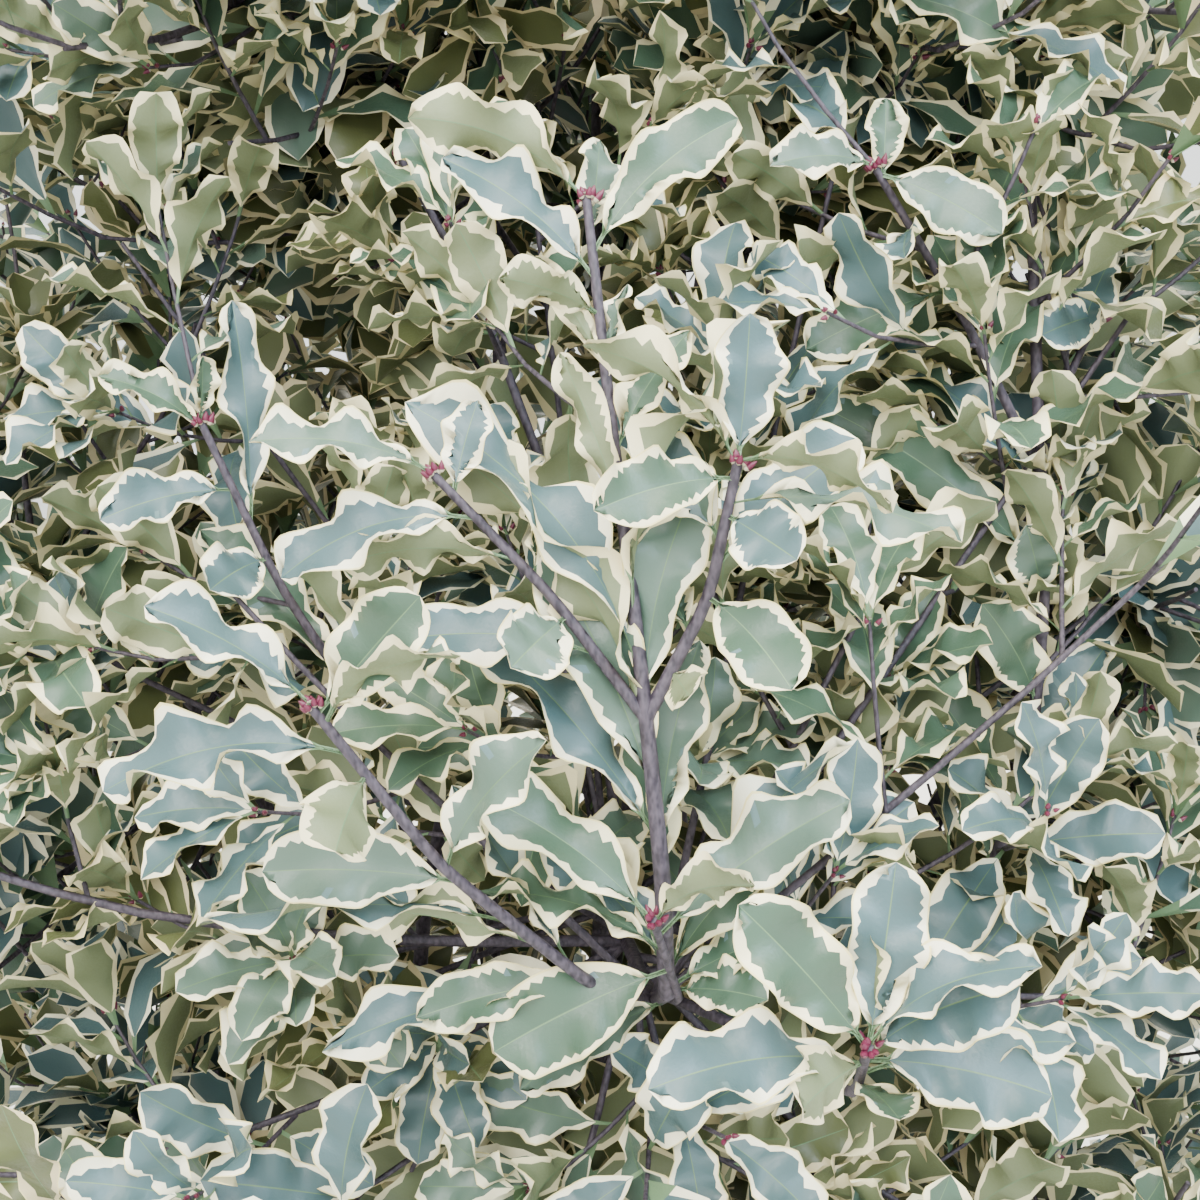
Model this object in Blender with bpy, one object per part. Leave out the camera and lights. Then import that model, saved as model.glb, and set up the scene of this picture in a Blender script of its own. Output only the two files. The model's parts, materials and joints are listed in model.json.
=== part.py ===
# Variegated pittosporum: a rounded evergreen garden shrub, from its cut at ground level to its shoot tips.
# Metres, +Z up. The origin is in the middle of the flat cut under the trunk, and the front faces -Y.

import math
import random

import bmesh
import bpy
from mathutils import Vector
from mathutils.bvhtree import BVHTree

# Crown: an upright ellipsoid that shoot tips fill, standing on the ground
CROWN_HEIGHT = 1.33
CROWN_RADIUS = 0.55
CROWN_WAIST = 0.68
CROWN_FOOT = 0.02
LEAF_CLEARANCE_OF_GROUND = 0.035
SECTORS = 5
FRONT_AZIMUTH = -90.0
SEED = 41

# Pieces that meet keep this gap, and two masses of foliage keep the wider one
SEAT_GAP = 0.0003
MASS_GAP = 0.006

TRUNK_HEIGHT = 0.13
TRUNK_SIDES = 20
TRUNK_FLARE_LOBES = 5
TRUNK_LEAN = Vector((0.007, 0.004, 0.0))
# Height as a share of the trunk, radius, and depth of the root flare's lobes
TRUNK_PROFILE = (
    (0.0, 0.056, 0.16),
    (0.14, 0.046, 0.12),
    (0.42, 0.038, 0.06),
    (0.8, 0.037, 0.02),
    (1.0, 0.039, 0.0),
)

BOUGH_SIDES = 7
BOUGH_RING = 0.0245
BOUGH_FOOT_RADIUS = 0.0118
BOUGH_TIP_RADIUS = 0.0102
BOUGH_KNUCKLE_RADIUS = 0.0128
BOUGH_STEPS = 5
FORK_REACH = 0.105
FORK_HEIGHT = 0.29
# How far a bough goes outwards for each unit up, at its foot and at its fork
BOUGH_FOOT_SLOPE = 0.25
BOUGH_FORK_SLOPE = 0.45

LIMB_SIDES = 6
LIMB_FOOT_RADIUS = 0.0053
LIMB_SPREAD_ON_FORK = 0.0068
LIMB_STEPS = 5
LIMB_LIFT = 0.05

# A mass's stem ends this far out from the middle of its space, and above it
STEM_SIDES = 5
STEM_TIP_RADIUS = 0.0030
STEM_STEPS = 4
STEM_OUT = 0.045
STEM_UP = 0.05
STEM_TIP_SLOPE = 1.1

TWIG_SIDES = 3
TWIG_FOOT_RADIUS = 0.0028
TWIG_TIP_RADIUS = 0.0015
TWIG_STEPS = 3

# Three tiers of foliage. Each has one mass, and one limb that carries it, in every sector of the crown
TIERS = {
    "low": {"turn": 36.0, "reach": 0.35, "height": 0.33, "limb_reach": 0.215, "limb_height": 0.30,
            "limb_tip": 0.0042, "twigs": 8},
    "mid": {"turn": 0.0, "reach": 0.34, "height": 0.79, "limb_reach": 0.215, "limb_height": 0.62,
            "limb_tip": 0.0043, "twigs": 8},
    "top": {"turn": 36.0, "reach": 0.16, "height": 1.13, "limb_reach": 0.10, "limb_height": 0.96,
            "limb_tip": 0.0038, "twigs": 7},
}
FRONT_MASS = "mid_1"
# The front mass holds more shoots, so its space is larger than its neighbours'
FRONT_EXTRA_SPACE = 0.045
# Only the front shoots grow in this box on the shrub's front: lowest and highest corner
FRONT_WINDOW = (Vector((-0.23, -0.70, 0.61)), Vector((0.23, -0.37, 1.06)))

# Shoots on the front: what each grows from and how far along it, the way it sets off, its tip, the way it points
# there, and its two radii. A longer way makes a wider bow.
FRONT_SHOOTS = {
    "centre": ("stem", 1.0, (0.0, -0.7, 0.7), (-0.005, -0.407, 0.992), (-0.1, 0.2, 1.0), 0.0035, 0.0017),
    "left_fork": ("centre", 0.4, (-0.3, 0.1, 0.8), (-0.059, -0.449, 0.898), (-0.6, 0.0, 0.8), 0.0023, 0.0015),
    "right_fork": ("centre", 0.4, (0.6, 0.0, 0.8), (0.048, -0.449, 0.902), (0.1, 0.0, 1.0), 0.0026, 0.0018),
    "low_left": ("stem", 0.8, (0.1, -0.9, 0.1), (-0.099, -0.477, 0.822), (-0.3, 0.1, 0.7), 0.0027, 0.0018),
    "low_centre": ("stem", 0.7, (0.5, -0.8, -0.1), (0.019, -0.466, 0.738), (-0.3, -0.2, 0.9), 0.0021, 0.0015),
    "low_right": ("stem", 0.7, (0.9, -0.5, 0.1), (0.086, -0.531, 0.724), (-0.3, -0.2, 1.0), 0.0024, 0.0017),
    "right": ("stem", 0.15, (1.9, -0.8, -0.6), (0.182, -0.300, 1.020), (0.0, 0.2, 1.2), 0.0034, 0.0023),
    "right_inner": ("right", 0.74, (-0.5, 0.0, 0.7), (0.109, -0.342, 1.006), (-0.7, -0.1, 0.7), 0.0023, 0.0015),
    "right_outer": ("right", 0.74, (0.6, 0.1, 0.8), (0.218, -0.298, 0.946), (0.8, 0.3, 0.1), 0.0021, 0.0015),
    "far_left": ("stem", 0.4, (-0.7, -0.6, 0.5), (-0.165, -0.345, 0.904), (-0.3, 0.0, 0.9), 0.0028, 0.0016),
    "back_left": ("stem", 0.25, (0.1, -0.7, 0.7), (-0.092, -0.250, 1.015), (-0.6, 0.5, 0.8), 0.0028, 0.0016),
    "back_centre": ("stem", 0.1, (0.4, -0.2, 0.9), (0.063, -0.200, 1.005), (0.0, 0.2, 1.0), 0.0030, 0.0018),
}
FRONT_STEP = 0.07
FRONT_STEM_END = Vector((0.026, -0.430, 0.690))
FRONT_STEM_WAY = Vector((0.0, -0.55, 0.84))
FRONT_TWIGS = 5

# Where a twig's tip may stand: how full of the crown it is, inside the mass's bounds, and clear of limbs
INNER_TWIGS = 1
INNER_FILL = (0.52, 0.78)
OUTER_FILL = (0.83, 0.92)
TIP_INSET = 0.014
TIP_CLEARANCE = 0.03
LOWEST_TIP = 0.10
TIP_SEARCH = 0.34
TIP_TRIES = 700
# A twig leaves its stem this share of the stem before the point nearest its tip
TWIG_LEAD = 0.2
TWIG_PLACES = 12
LOWEST_TWIG, HIGHEST_TWIG = 0.12, 0.9
TWIG_CLEARANCE = 0.006
LEAF_CLEARANCE = 0.005

# Leaves are fewer and larger than life: each stands for a spray of real ones
LEAF_LENGTH = 0.128
LEAF_WIDTH = 0.067
LEAF_THICKNESS = 0.0030
LEAF_WIDEST = 0.56
LEAF_FOLD = 0.10
LEAF_DROOP = 0.16
LEAF_SPREAD_ANGLE = 58.0
GOLDEN_ANGLE = 137.5
LEAF_SHARES = (0.42, 0.58, 0.73, 0.87, 0.985)
LEAF_TRIES = 5

BARK = ("bark", (0.105, 0.085, 0.095), 0.75)
YOUNG_BARK = ("young_bark", (0.110, 0.078, 0.105), 0.65)
FOLIAGE = ("foliage", (0.330, 0.410, 0.330), 0.50)


# Scene and materials
def clear_scene():
    for item in list(bpy.data.objects):
        bpy.data.objects.remove(item, do_unlink=True)


def finish(spec):
    name, colour, roughness = spec
    material = bpy.data.materials.get(name)
    if material is None:
        material = bpy.data.materials.new(name)
        material.use_nodes = True
        shader = material.node_tree.nodes["Principled BSDF"]
        shader.inputs["Base Color"].default_value = (*colour, 1.0)
        shader.inputs["Roughness"].default_value = roughness
        shader.inputs["Metallic"].default_value = 0.0
    return material


def make_object(name, points, faces, spec):
    mesh = bpy.data.meshes.new(name)
    mesh.from_pydata([tuple(point) for point in points], [], faces)
    mesh.materials.append(finish(spec))
    item = bpy.data.objects.new(name, mesh)
    bpy.context.scene.collection.objects.link(item)
    return item


# Directions and paths
def toward(azimuth, reach, height):
    angle = math.radians(azimuth)
    return Vector((reach * math.cos(angle), reach * math.sin(angle), height))


def across(axis):
    """Two unit vectors square to the axis and to each other."""
    helper = Vector((1.0, 0.0, 0.0)) if abs(axis.x) < 0.8 else Vector((0.0, 1.0, 0.0))
    side = axis.cross(helper).normalized()
    return side, axis.cross(side).normalized()


def bow(start, start_way, end, end_way, steps):
    """A smooth path from start to end that leaves and arrives in the given directions."""
    pull = (end - start).length
    path = []
    for step in range(steps + 1):
        t = step / steps
        a, b = 2 * t**3 - 3 * t**2 + 1, t**3 - 2 * t**2 + t
        c, d = -2 * t**3 + 3 * t**2, t**3 - t**2
        path.append(a * start + b * pull * start_way + c * end + d * pull * end_way)
    return path


def along(path, share):
    """The point at that share of the path's length, and the path's direction there."""
    lengths = [(b - a).length for a, b in zip(path, path[1:])]
    left = share * sum(lengths)
    for a, b, length in zip(path, path[1:], lengths):
        if left <= length or b is path[-1]:
            return a.lerp(b, left / length), (b - a).normalized()
        left -= length


def end_direction(path):
    return (path[-1] - path[-2]).normalized()


# Crown space
def fill(point):
    """0 in the middle of the crown and 1 on its outside."""
    half = CROWN_HEIGHT - CROWN_WAIST if point.z > CROWN_WAIST else CROWN_WAIST - CROWN_FOOT
    return math.sqrt((point.x**2 + point.y**2) / CROWN_RADIUS**2 + ((point.z - CROWN_WAIST) / half) ** 2)


def mass_sites():
    return {
        f"{tier}_{sector + 1}": toward(FRONT_AZIMUTH + size["turn"] + sector * 360 / SECTORS, size["reach"],
                                       size["height"])
        for tier, size in TIERS.items()
        for sector in range(SECTORS)
    }


SITES = mass_sites()


def extra_space(name):
    return FRONT_EXTRA_SPACE if name == FRONT_MASS else 0.0


def in_space(name, point, margin):
    """True where the point is this far inside the mass's own share of the crown."""
    site = SITES[name]
    for other, place in SITES.items():
        if other == name:
            continue
        apart = place - site
        lead = (extra_space(name) - extra_space(other)) / 2
        if (point - (site + place) / 2).dot(apart) > lead - margin * apart.length:
            return False
    return True


def in_window(point):
    low, high = FRONT_WINDOW
    return all(low[i] < point[i] < high[i] for i in range(3))


def clear_of_limbs(point, limbs, gap):
    for path, radii in limbs:
        for a, b, radius in zip(path, path[1:], radii):
            share = max(0.0, min(1.0, (point - a).dot(b - a) / (b - a).length_squared))
            if (point - a.lerp(b, share)).length < radius + gap:
                return False
    return True


# Limbs: trunk, boughs and the limbs that fork from them
def tapers(first, last, count):
    return [first + (last - first) * step / (count - 1) for step in range(count)]


def bough_paths():
    """For each sector, the bough's path from the trunk's top to its fork."""
    paths = []
    for sector in range(SECTORS):
        azimuth = FRONT_AZIMUTH + sector * 360 / SECTORS
        foot = TRUNK_LEAN + toward(azimuth, BOUGH_RING, TRUNK_HEIGHT + SEAT_GAP)
        fork = toward(azimuth, FORK_REACH, FORK_HEIGHT)
        foot_way = toward(azimuth, BOUGH_FOOT_SLOPE, 1.0).normalized()
        fork_way = toward(azimuth, BOUGH_FORK_SLOPE, 1.0).normalized()
        paths.append(bow(foot, foot_way, fork, fork_way, BOUGH_STEPS))
    return paths


def limb_paths(boughs):
    """Each tier's limb in each sector, three side by side on a bough's end: (path, foot direction, radii)."""
    limbs = {}
    for sector, bough in enumerate(boughs):
        fork, way = bough[-1], end_direction(bough)
        side, up = across(way)
        places = {}
        for tier, size in TIERS.items():
            azimuth = FRONT_AZIMUTH + size["turn"] + sector * 360 / SECTORS
            places[tier] = toward(azimuth, size["limb_reach"], size["limb_height"])
        low = places["low"] - fork
        first = math.atan2(low.dot(up), low.dot(side))
        turns = {"low": first, "mid": first + math.radians(120), "top": first - math.radians(120)}
        swapped = {"low": first, "mid": turns["top"], "top": turns["mid"]}
        chosen = min((turns, swapped), key=lambda t: crossing(t, places, fork, side, up))
        for tier, size in TIERS.items():
            turn = chosen[tier]
            foot = fork + way * SEAT_GAP + LIMB_SPREAD_ON_FORK * (math.cos(turn) * side + math.sin(turn) * up)
            site = SITES[f"{tier}_{sector + 1}"]
            end_way = (site - places[tier] + Vector((0.0, 0.0, LIMB_LIFT))).normalized()
            path = bow(foot, way, places[tier], end_way, LIMB_STEPS)
            radii = tapers(LIMB_FOOT_RADIUS, size["limb_tip"], len(path))
            limbs[f"{tier}_{sector + 1}"] = (path, way, radii)
    return limbs


def crossing(turns, places, fork, side, up):
    """How far the feet's order on the fork is from the way the limbs go on."""
    total = 0.0
    for tier, turn in turns.items():
        way = (places[tier] - fork).normalized()
        total -= way.dot(math.cos(turn) * side + math.sin(turn) * up)
    return total


def bough_radii(count):
    radii = tapers(BOUGH_FOOT_RADIUS, BOUGH_TIP_RADIUS, count)
    radii[-1] = BOUGH_KNUCKLE_RADIUS
    return radii


# Foliage skeleton: one stem in each mass, and the twigs that branch from it
def stem_path(name, limb):
    path = limb[0]
    way = end_direction(path)
    start = path[-1] + way * SEAT_GAP
    if name == FRONT_MASS:
        return bow(start, way, FRONT_STEM_END, FRONT_STEM_WAY, STEM_STEPS)
    site = SITES[name]
    outward = Vector((site.x, site.y, 0.0)).normalized()
    end = site + outward * STEM_OUT + Vector((0.0, 0.0, STEM_UP))
    end_way = (outward * STEM_TIP_SLOPE + Vector((0.0, 0.0, 1.0))).normalized()
    return bow(start, way, end, end_way, STEM_STEPS)


def spread_tips(rng, name, count, taken, limbs):
    """Tips in the mass's space, apart from all earlier ones, most of them out at the crown's side."""
    tips = list(taken)
    site = SITES[name]
    for number in range(count):
        low, high = INNER_FILL if number < INNER_TWIGS else OUTER_FILL
        best, furthest = None, 0.0
        for _ in range(TIP_TRIES):
            point = site + Vector([rng.uniform(-TIP_SEARCH, TIP_SEARCH) for _ in range(3)])
            if not low < fill(point) < high or point.z < LOWEST_TIP or in_window(point):
                continue
            if not in_space(name, point, TIP_INSET) or not clear_of_limbs(point, limbs, TIP_CLEARANCE):
                continue
            apart = min([(point - tip).length for tip in tips], default=1.0)
            if apart > furthest:
                best, furthest = point, apart
        if best is not None:
            tips.append(best)
    return tips[len(taken):]


def twig_path(stem, tip):
    """A twig leaves the stem short of the point nearest its tip, and turns up and outwards."""
    shares = [step / TWIG_PLACES for step in range(TWIG_PLACES + 1)]
    nearest = min(shares, key=lambda share: (along(stem, share)[0] - tip).length)
    foot, way = along(stem, max(LOWEST_TWIG, min(HIGHEST_TWIG, nearest - TWIG_LEAD)))
    straight = (tip - foot).normalized()
    outward = Vector((tip.x, tip.y, 0.0)).normalized()
    start_way = (straight + 0.5 * way).normalized()
    end_way = (0.8 * straight + 0.5 * outward + Vector((0.0, 0.0, 0.75))).normalized()
    return bow(foot, start_way, tip, end_way, TWIG_STEPS)


def front_paths(stem):
    """The front shoots as (path, foot radius, tip radius), each from the stem or from another shoot."""
    paths = {"stem": stem}
    shoots = []
    for name, (parent, share, foot_way, tip, tip_way, foot_radius, tip_radius) in FRONT_SHOOTS.items():
        foot = along(paths[parent], share)[0]
        steps = max(2, round((Vector(tip) - foot).length / FRONT_STEP))
        paths[name] = bow(foot, Vector(foot_way), Vector(tip), Vector(tip_way), steps)
        shoots.append((paths[name], foot_radius, tip_radius))
    return shoots


def mass_skeletons(limbs, solid_limbs):
    """For each mass, the front one first, its stem and its twigs as (path, foot radius, tip radius)."""
    masses, tips = {}, []
    for name in sorted(limbs, key=lambda each: each != FRONT_MASS):
        rng = random.Random(f"{SEED} {name}")
        stem = stem_path(name, limbs[name])
        twigs = front_paths(stem) if name == FRONT_MASS else []
        tips += [twig[0][-1] for twig in twigs]
        count = FRONT_TWIGS if name == FRONT_MASS else TIERS[name[:3]]["twigs"]
        for tip in spread_tips(rng, name, count, tips, solid_limbs):
            path = twig_path(stem, tip)
            inside = all(in_space(name, point, MASS_GAP) and not in_window(point) for point in path[1:])
            if inside and all(clear_of_limbs(point, solid_limbs, TWIG_CLEARANCE) for point in path[1:]):
                twigs.append((path, TWIG_FOOT_RADIUS, TWIG_TIP_RADIUS))
                tips.append(tip)
        masses[name] = (stem, twigs)
    return masses


# Solids
def tube(name, path, radii, sides, spec, foot_way=None):
    """A closed tapering limb along the path, its foot cut square to foot_way to sit on what carries it."""
    points, faces = [], []
    way = foot_way or (path[1] - path[0]).normalized()
    side, up = across(way)
    for step, (centre, radius) in enumerate(zip(path, radii)):
        if step:
            after = path[min(step + 1, len(path) - 1)]
            turned = (after - path[step - 1]).normalized()
            side = (side - turned * side.dot(turned)).normalized()
            up = turned.cross(side).normalized()
        for corner in range(sides):
            angle = 2 * math.pi * corner / sides
            points.append(centre + radius * (math.cos(angle) * side + math.sin(angle) * up))
    for step in range(len(path) - 1):
        first, second = step * sides, (step + 1) * sides
        for corner in range(sides):
            following = (corner + 1) % sides
            faces.append((first + corner, first + following, second + following, second + corner))
    faces.append(tuple(reversed(range(sides))))
    faces.append(tuple(range(len(points) - sides, len(points))))
    item = make_object(name, points, faces, spec)
    face_outwards(item.data)
    return item


def face_outwards(mesh):
    work = bmesh.new()
    work.from_mesh(mesh)
    bmesh.ops.recalc_face_normals(work, faces=work.faces)
    work.to_mesh(mesh)
    work.free()


def trunk():
    points, faces = [], []
    for share, radius, lobe in TRUNK_PROFILE:
        centre = TRUNK_LEAN * share + Vector((0.0, 0.0, TRUNK_HEIGHT * share))
        for corner in range(TRUNK_SIDES):
            angle = 2 * math.pi * corner / TRUNK_SIDES
            wide = radius * (1 + lobe * math.cos(TRUNK_FLARE_LOBES * angle))
            points.append(centre + Vector((wide * math.cos(angle), wide * math.sin(angle), 0.0)))
    for ring in range(len(TRUNK_PROFILE) - 1):
        first, second = ring * TRUNK_SIDES, (ring + 1) * TRUNK_SIDES
        for corner in range(TRUNK_SIDES):
            following = (corner + 1) % TRUNK_SIDES
            faces.append((first + corner, first + following, second + following, second + corner))
    faces.append(tuple(reversed(range(TRUNK_SIDES))))
    faces.append(tuple(range(len(points) - TRUNK_SIDES, len(points))))
    return make_object("trunk", points, faces, BARK)


LEAF_FACES = ((0, 3, 4), (0, 4, 2), (1, 4, 3), (1, 2, 4), (0, 5, 3), (0, 2, 5), (1, 3, 5), (1, 5, 2))


def leaf_points(root, way, upper):
    """Root, tip, left, right, and the middles of the upper and the lower face."""
    side = way.cross(upper).normalized()
    middle = root + way * LEAF_LENGTH * LEAF_WIDEST
    raised = upper * LEAF_FOLD * LEAF_WIDTH
    return [
        root,
        root + way * LEAF_LENGTH - upper * LEAF_DROOP * LEAF_LENGTH,
        middle + side * LEAF_WIDTH / 2 + raised,
        middle - side * LEAF_WIDTH / 2 + raised,
        middle + upper * LEAF_THICKNESS / 2,
        middle - upper * LEAF_THICKNESS / 2,
    ]


def leaf_places(rng, twig):
    """Root, direction and upper side of each leaf up a twig, turned by the golden angle from leaf to leaf."""
    path = twig[0]
    turn = rng.uniform(0.0, 360.0)
    for share in LEAF_SHARES:
        root, way = along(path, share)
        side, up = across(way)
        turn += GOLDEN_ANGLE
        spread = math.radians(LEAF_SPREAD_ANGLE if share < LEAF_SHARES[-1] else LEAF_SPREAD_ANGLE / 3)
        for attempt in range(LEAF_TRIES):
            angle = math.radians(turn + attempt * 360 / LEAF_TRIES)
            outward = math.cos(angle) * side + math.sin(angle) * up
            leaf_way = (math.cos(spread) * way + math.sin(spread) * outward).normalized()
            upper = (way - leaf_way * way.dot(leaf_way)).normalized()
            yield share, root, leaf_way, upper


def fits(name, points, limbs, others):
    """True where the leaf is in its mass's space, off the ground, and clear of limbs, twigs and leaves."""
    samples = points + [points[0].lerp(points[1], step / 4) for step in (1, 2, 3)]
    if any(point.z < LEAF_CLEARANCE_OF_GROUND for point in points):
        return False
    if not all(in_space(name, point, MASS_GAP / 2) for point in points):
        return False
    if not all(clear_of_limbs(point, limbs, LEAF_CLEARANCE) for point in samples):
        return False
    blade = BVHTree.FromPolygons(points, LEAF_FACES)
    return not any(blade.overlap(other) for other in others)


def surface_of(item):
    mesh = item.data
    return BVHTree.FromPolygons([v.co for v in mesh.vertices], [tuple(p.vertices) for p in mesh.polygons])


def fuse(base, pieces):
    """Joins the pieces to the base with one Boolean union, and keeps the one closed body that it gives."""
    group = bpy.data.collections.new("to_join")
    bpy.context.scene.collection.children.link(group)
    for piece in pieces:
        bpy.context.scene.collection.objects.unlink(piece)
        group.objects.link(piece)
    join = base.modifiers.new("join", "BOOLEAN")
    join.operation = "UNION"
    join.operand_type = "COLLECTION"
    join.collection = group
    join.solver = "MANIFOLD"
    bpy.context.view_layer.objects.active = base
    bpy.ops.object.modifier_apply(modifier=join.name)
    for piece in pieces:
        bpy.data.objects.remove(piece, do_unlink=True)
    bpy.data.collections.remove(group)
    keep_main_body(base.data)


def keep_main_body(mesh):
    """Fills hollows that the union sealed, and drops loose scraps: only the largest outer shell stays."""
    work = bmesh.new()
    work.from_mesh(mesh)
    bmesh.ops.triangulate(work, faces=work.faces)
    work.faces.ensure_lookup_table()
    unseen, shells = set(work.faces), []
    while unseen:
        queue = [unseen.pop()]
        shell = []
        while queue:
            face = queue.pop()
            shell.append(face)
            for edge in face.edges:
                for near in edge.link_faces:
                    if near in unseen:
                        unseen.remove(near)
                        queue.append(near)
        shells.append(shell)
    shells.sort(key=shell_volume)
    spare = [face for shell in shells[:-1] for face in shell]
    bmesh.ops.delete(work, geom=spare, context="FACES")
    work.to_mesh(mesh)
    work.free()


def shell_volume(shell):
    return sum(f.verts[0].co.dot(f.verts[1].co.cross(f.verts[2].co)) for f in shell) / 6


def foliage(name, limb, stem, twigs, limbs):
    """One mass: its stem, its twigs and their leaves, fused to one solid."""
    rng = random.Random(f"{SEED} {name} leaves")
    stem_radii = tapers(limb[2][-1], STEM_TIP_RADIUS, len(stem))
    body = tube(f"foliage_{name}", stem, stem_radii, STEM_SIDES, FOLIAGE, foot_way=end_direction(limb[0]))
    pieces = []
    for path, foot_radius, tip_radius in twigs:
        pieces.append(tube("twig", path, tapers(foot_radius, tip_radius, len(path)), TWIG_SIDES, FOLIAGE))
    wood = [surface_of(body)] + [surface_of(piece) for piece in pieces]
    blades = []
    for number, twig in enumerate(twigs):
        others = wood[: number + 1] + wood[number + 2:]
        placed = set()
        for share, root, way, upper in leaf_places(rng, twig):
            if share in placed:
                continue
            points = leaf_points(root, way, upper)
            if fits(name, points, limbs, others + blades):
                placed.add(share)
                blades.append(BVHTree.FromPolygons(points, LEAF_FACES))
                leaf = make_object("leaf", points, LEAF_FACES, FOLIAGE)
                face_outwards(leaf.data)
                pieces.append(leaf)
    fuse(body, pieces)
    return len(blades)


def build():
    clear_scene()
    trunk()
    boughs = bough_paths()
    limbs = limb_paths(boughs)
    solid_limbs = [(path, bough_radii(len(path))) for path in boughs]
    solid_limbs += [(path, radii) for path, way, radii in limbs.values()]
    for number, path in enumerate(boughs):
        radii = bough_radii(len(path))
        tube(f"bough_{number + 1}", path, radii, BOUGH_SIDES, BARK, foot_way=Vector((0.0, 0.0, 1.0)))
    for name, (path, way, radii) in limbs.items():
        tube(f"limb_{name}", path, radii, LIMB_SIDES, YOUNG_BARK, foot_way=way)
    leaves = 0
    for name, (stem, twigs) in mass_skeletons(limbs, solid_limbs).items():
        leaves += foliage(name, limbs[name], stem, twigs, solid_limbs)
    print(f"{leaves} leaves")


build()
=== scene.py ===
# Variegated pittosporum, dressed: bark, twigs, variegated leaves and buds, grown by the rule of the solids.
# Metres, +Z up. The shrub's front faces -Y.
import json
import math
import random

import bpy
import numpy as np
from mathutils import Matrix, Vector, noise

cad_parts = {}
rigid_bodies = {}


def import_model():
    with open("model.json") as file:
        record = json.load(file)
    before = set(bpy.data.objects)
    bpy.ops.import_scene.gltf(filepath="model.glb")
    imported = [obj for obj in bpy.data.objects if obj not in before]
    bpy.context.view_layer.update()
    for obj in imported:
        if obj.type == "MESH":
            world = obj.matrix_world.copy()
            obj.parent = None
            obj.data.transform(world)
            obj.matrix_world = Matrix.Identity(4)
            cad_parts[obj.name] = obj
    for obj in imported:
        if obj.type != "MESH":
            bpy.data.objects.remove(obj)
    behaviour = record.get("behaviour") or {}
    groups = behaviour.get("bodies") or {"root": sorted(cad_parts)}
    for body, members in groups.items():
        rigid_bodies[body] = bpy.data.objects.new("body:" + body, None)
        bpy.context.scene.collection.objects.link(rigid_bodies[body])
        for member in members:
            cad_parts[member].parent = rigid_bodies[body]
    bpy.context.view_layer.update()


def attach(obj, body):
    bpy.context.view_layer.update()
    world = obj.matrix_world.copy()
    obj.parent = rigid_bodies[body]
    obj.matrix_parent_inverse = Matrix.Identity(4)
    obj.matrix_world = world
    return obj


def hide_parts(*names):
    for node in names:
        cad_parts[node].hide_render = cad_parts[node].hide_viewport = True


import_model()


# Camera, at the photograph's angle and distance
cameraSetup = {
    "place": Vector((0.0, -0.9759, 0.9737)),
    "tilt": 13.0,           # degrees below level
    "halfWidth": 0.3927,    # half the frame's width for each unit of distance
    "focus": 0.55,          # distance to the plane that holds the front shoots
    "framePixels": 1200,
}


def cameraWays():
    tilt = math.radians(cameraSetup["tilt"])
    forward = Vector((0.0, math.cos(tilt), -math.sin(tilt)))
    upward = Vector((0.0, math.sin(tilt), math.cos(tilt)))
    return forward, upward


def atPixel(x, y, depth):
    # the point seen at that pixel, this deep along the view
    forward, upward = cameraWays()
    half = cameraSetup["framePixels"] / 2
    k = cameraSetup["halfWidth"]
    right = Vector(((x - half) / half * k, 0.0, 0.0))
    return cameraSetup["place"] + depth * (forward + right + upward * ((half - y) / half * k))


def inView(point):
    # sideways and upward place in the frame, -1 to 1, and the depth
    forward, upward = cameraWays()
    away = point - cameraSetup["place"]
    depth = max(away.dot(forward), 0.01)
    reach = depth * cameraSetup["halfWidth"]
    return away.x / reach, away.dot(upward) / reach, depth


def makeCamera():
    data = bpy.data.cameras.new("camera")
    data.sensor_width = 36.0
    data.lens = data.sensor_width / 2 / cameraSetup["halfWidth"]
    data.clip_start = 0.01
    data.clip_end = 20.0
    item = bpy.data.objects.new("camera", data)
    item.location = cameraSetup["place"]
    item.rotation_euler = (math.radians(90.0 - cameraSetup["tilt"]), 0.0, 0.0)
    bpy.context.scene.collection.objects.link(item)
    bpy.context.scene.camera = item


makeCamera()
print("camera set")


# The growth rule of the solids, written again
crown = {"height": 1.33, "radius": 0.55, "waist": 0.68, "foot": 0.02, "sectors": 5, "frontAzimuth": -90.0,
         "seed": 41, "frontMass": "mid_1", "frontExtraSpace": 0.045, "leafFloor": 0.03,
         "windowLow": Vector((-0.23, -0.70, 0.61)), "windowHigh": Vector((0.23, -0.37, 1.06))}
tiers = {
    "low": {"turn": 36.0, "reach": 0.35, "height": 0.33, "limbReach": 0.215, "limbHeight": 0.30,
            "limbTip": 0.0042, "twigs": 8},
    "mid": {"turn": 0.0, "reach": 0.34, "height": 0.79, "limbReach": 0.215, "limbHeight": 0.62,
            "limbTip": 0.0043, "twigs": 8},
    "top": {"turn": 36.0, "reach": 0.16, "height": 1.13, "limbReach": 0.10, "limbHeight": 0.96,
            "limbTip": 0.0038, "twigs": 7},
}
limbSizes = {"seatGap": 0.0003, "trunkHeight": 0.13, "trunkLean": Vector((0.007, 0.004, 0.0)),
             "trunkLobes": 5,
             # share of the height, radius, depth of the lobes
             "trunkProfile": ((0.0, 0.056, 0.16), (0.14, 0.046, 0.12), (0.42, 0.038, 0.06),
                              (0.8, 0.037, 0.02), (1.0, 0.039, 0.0)),
             "boughRing": 0.0245, "boughFoot": 0.0118, "boughTip": 0.0102, "boughKnuckle": 0.0128,
             "boughSteps": 5, "forkReach": 0.105, "forkHeight": 0.29, "footSlope": 0.25, "forkSlope": 0.45,
             "limbFoot": 0.0053, "limbSpread": 0.0068, "limbSteps": 5, "limbLift": 0.05}
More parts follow.
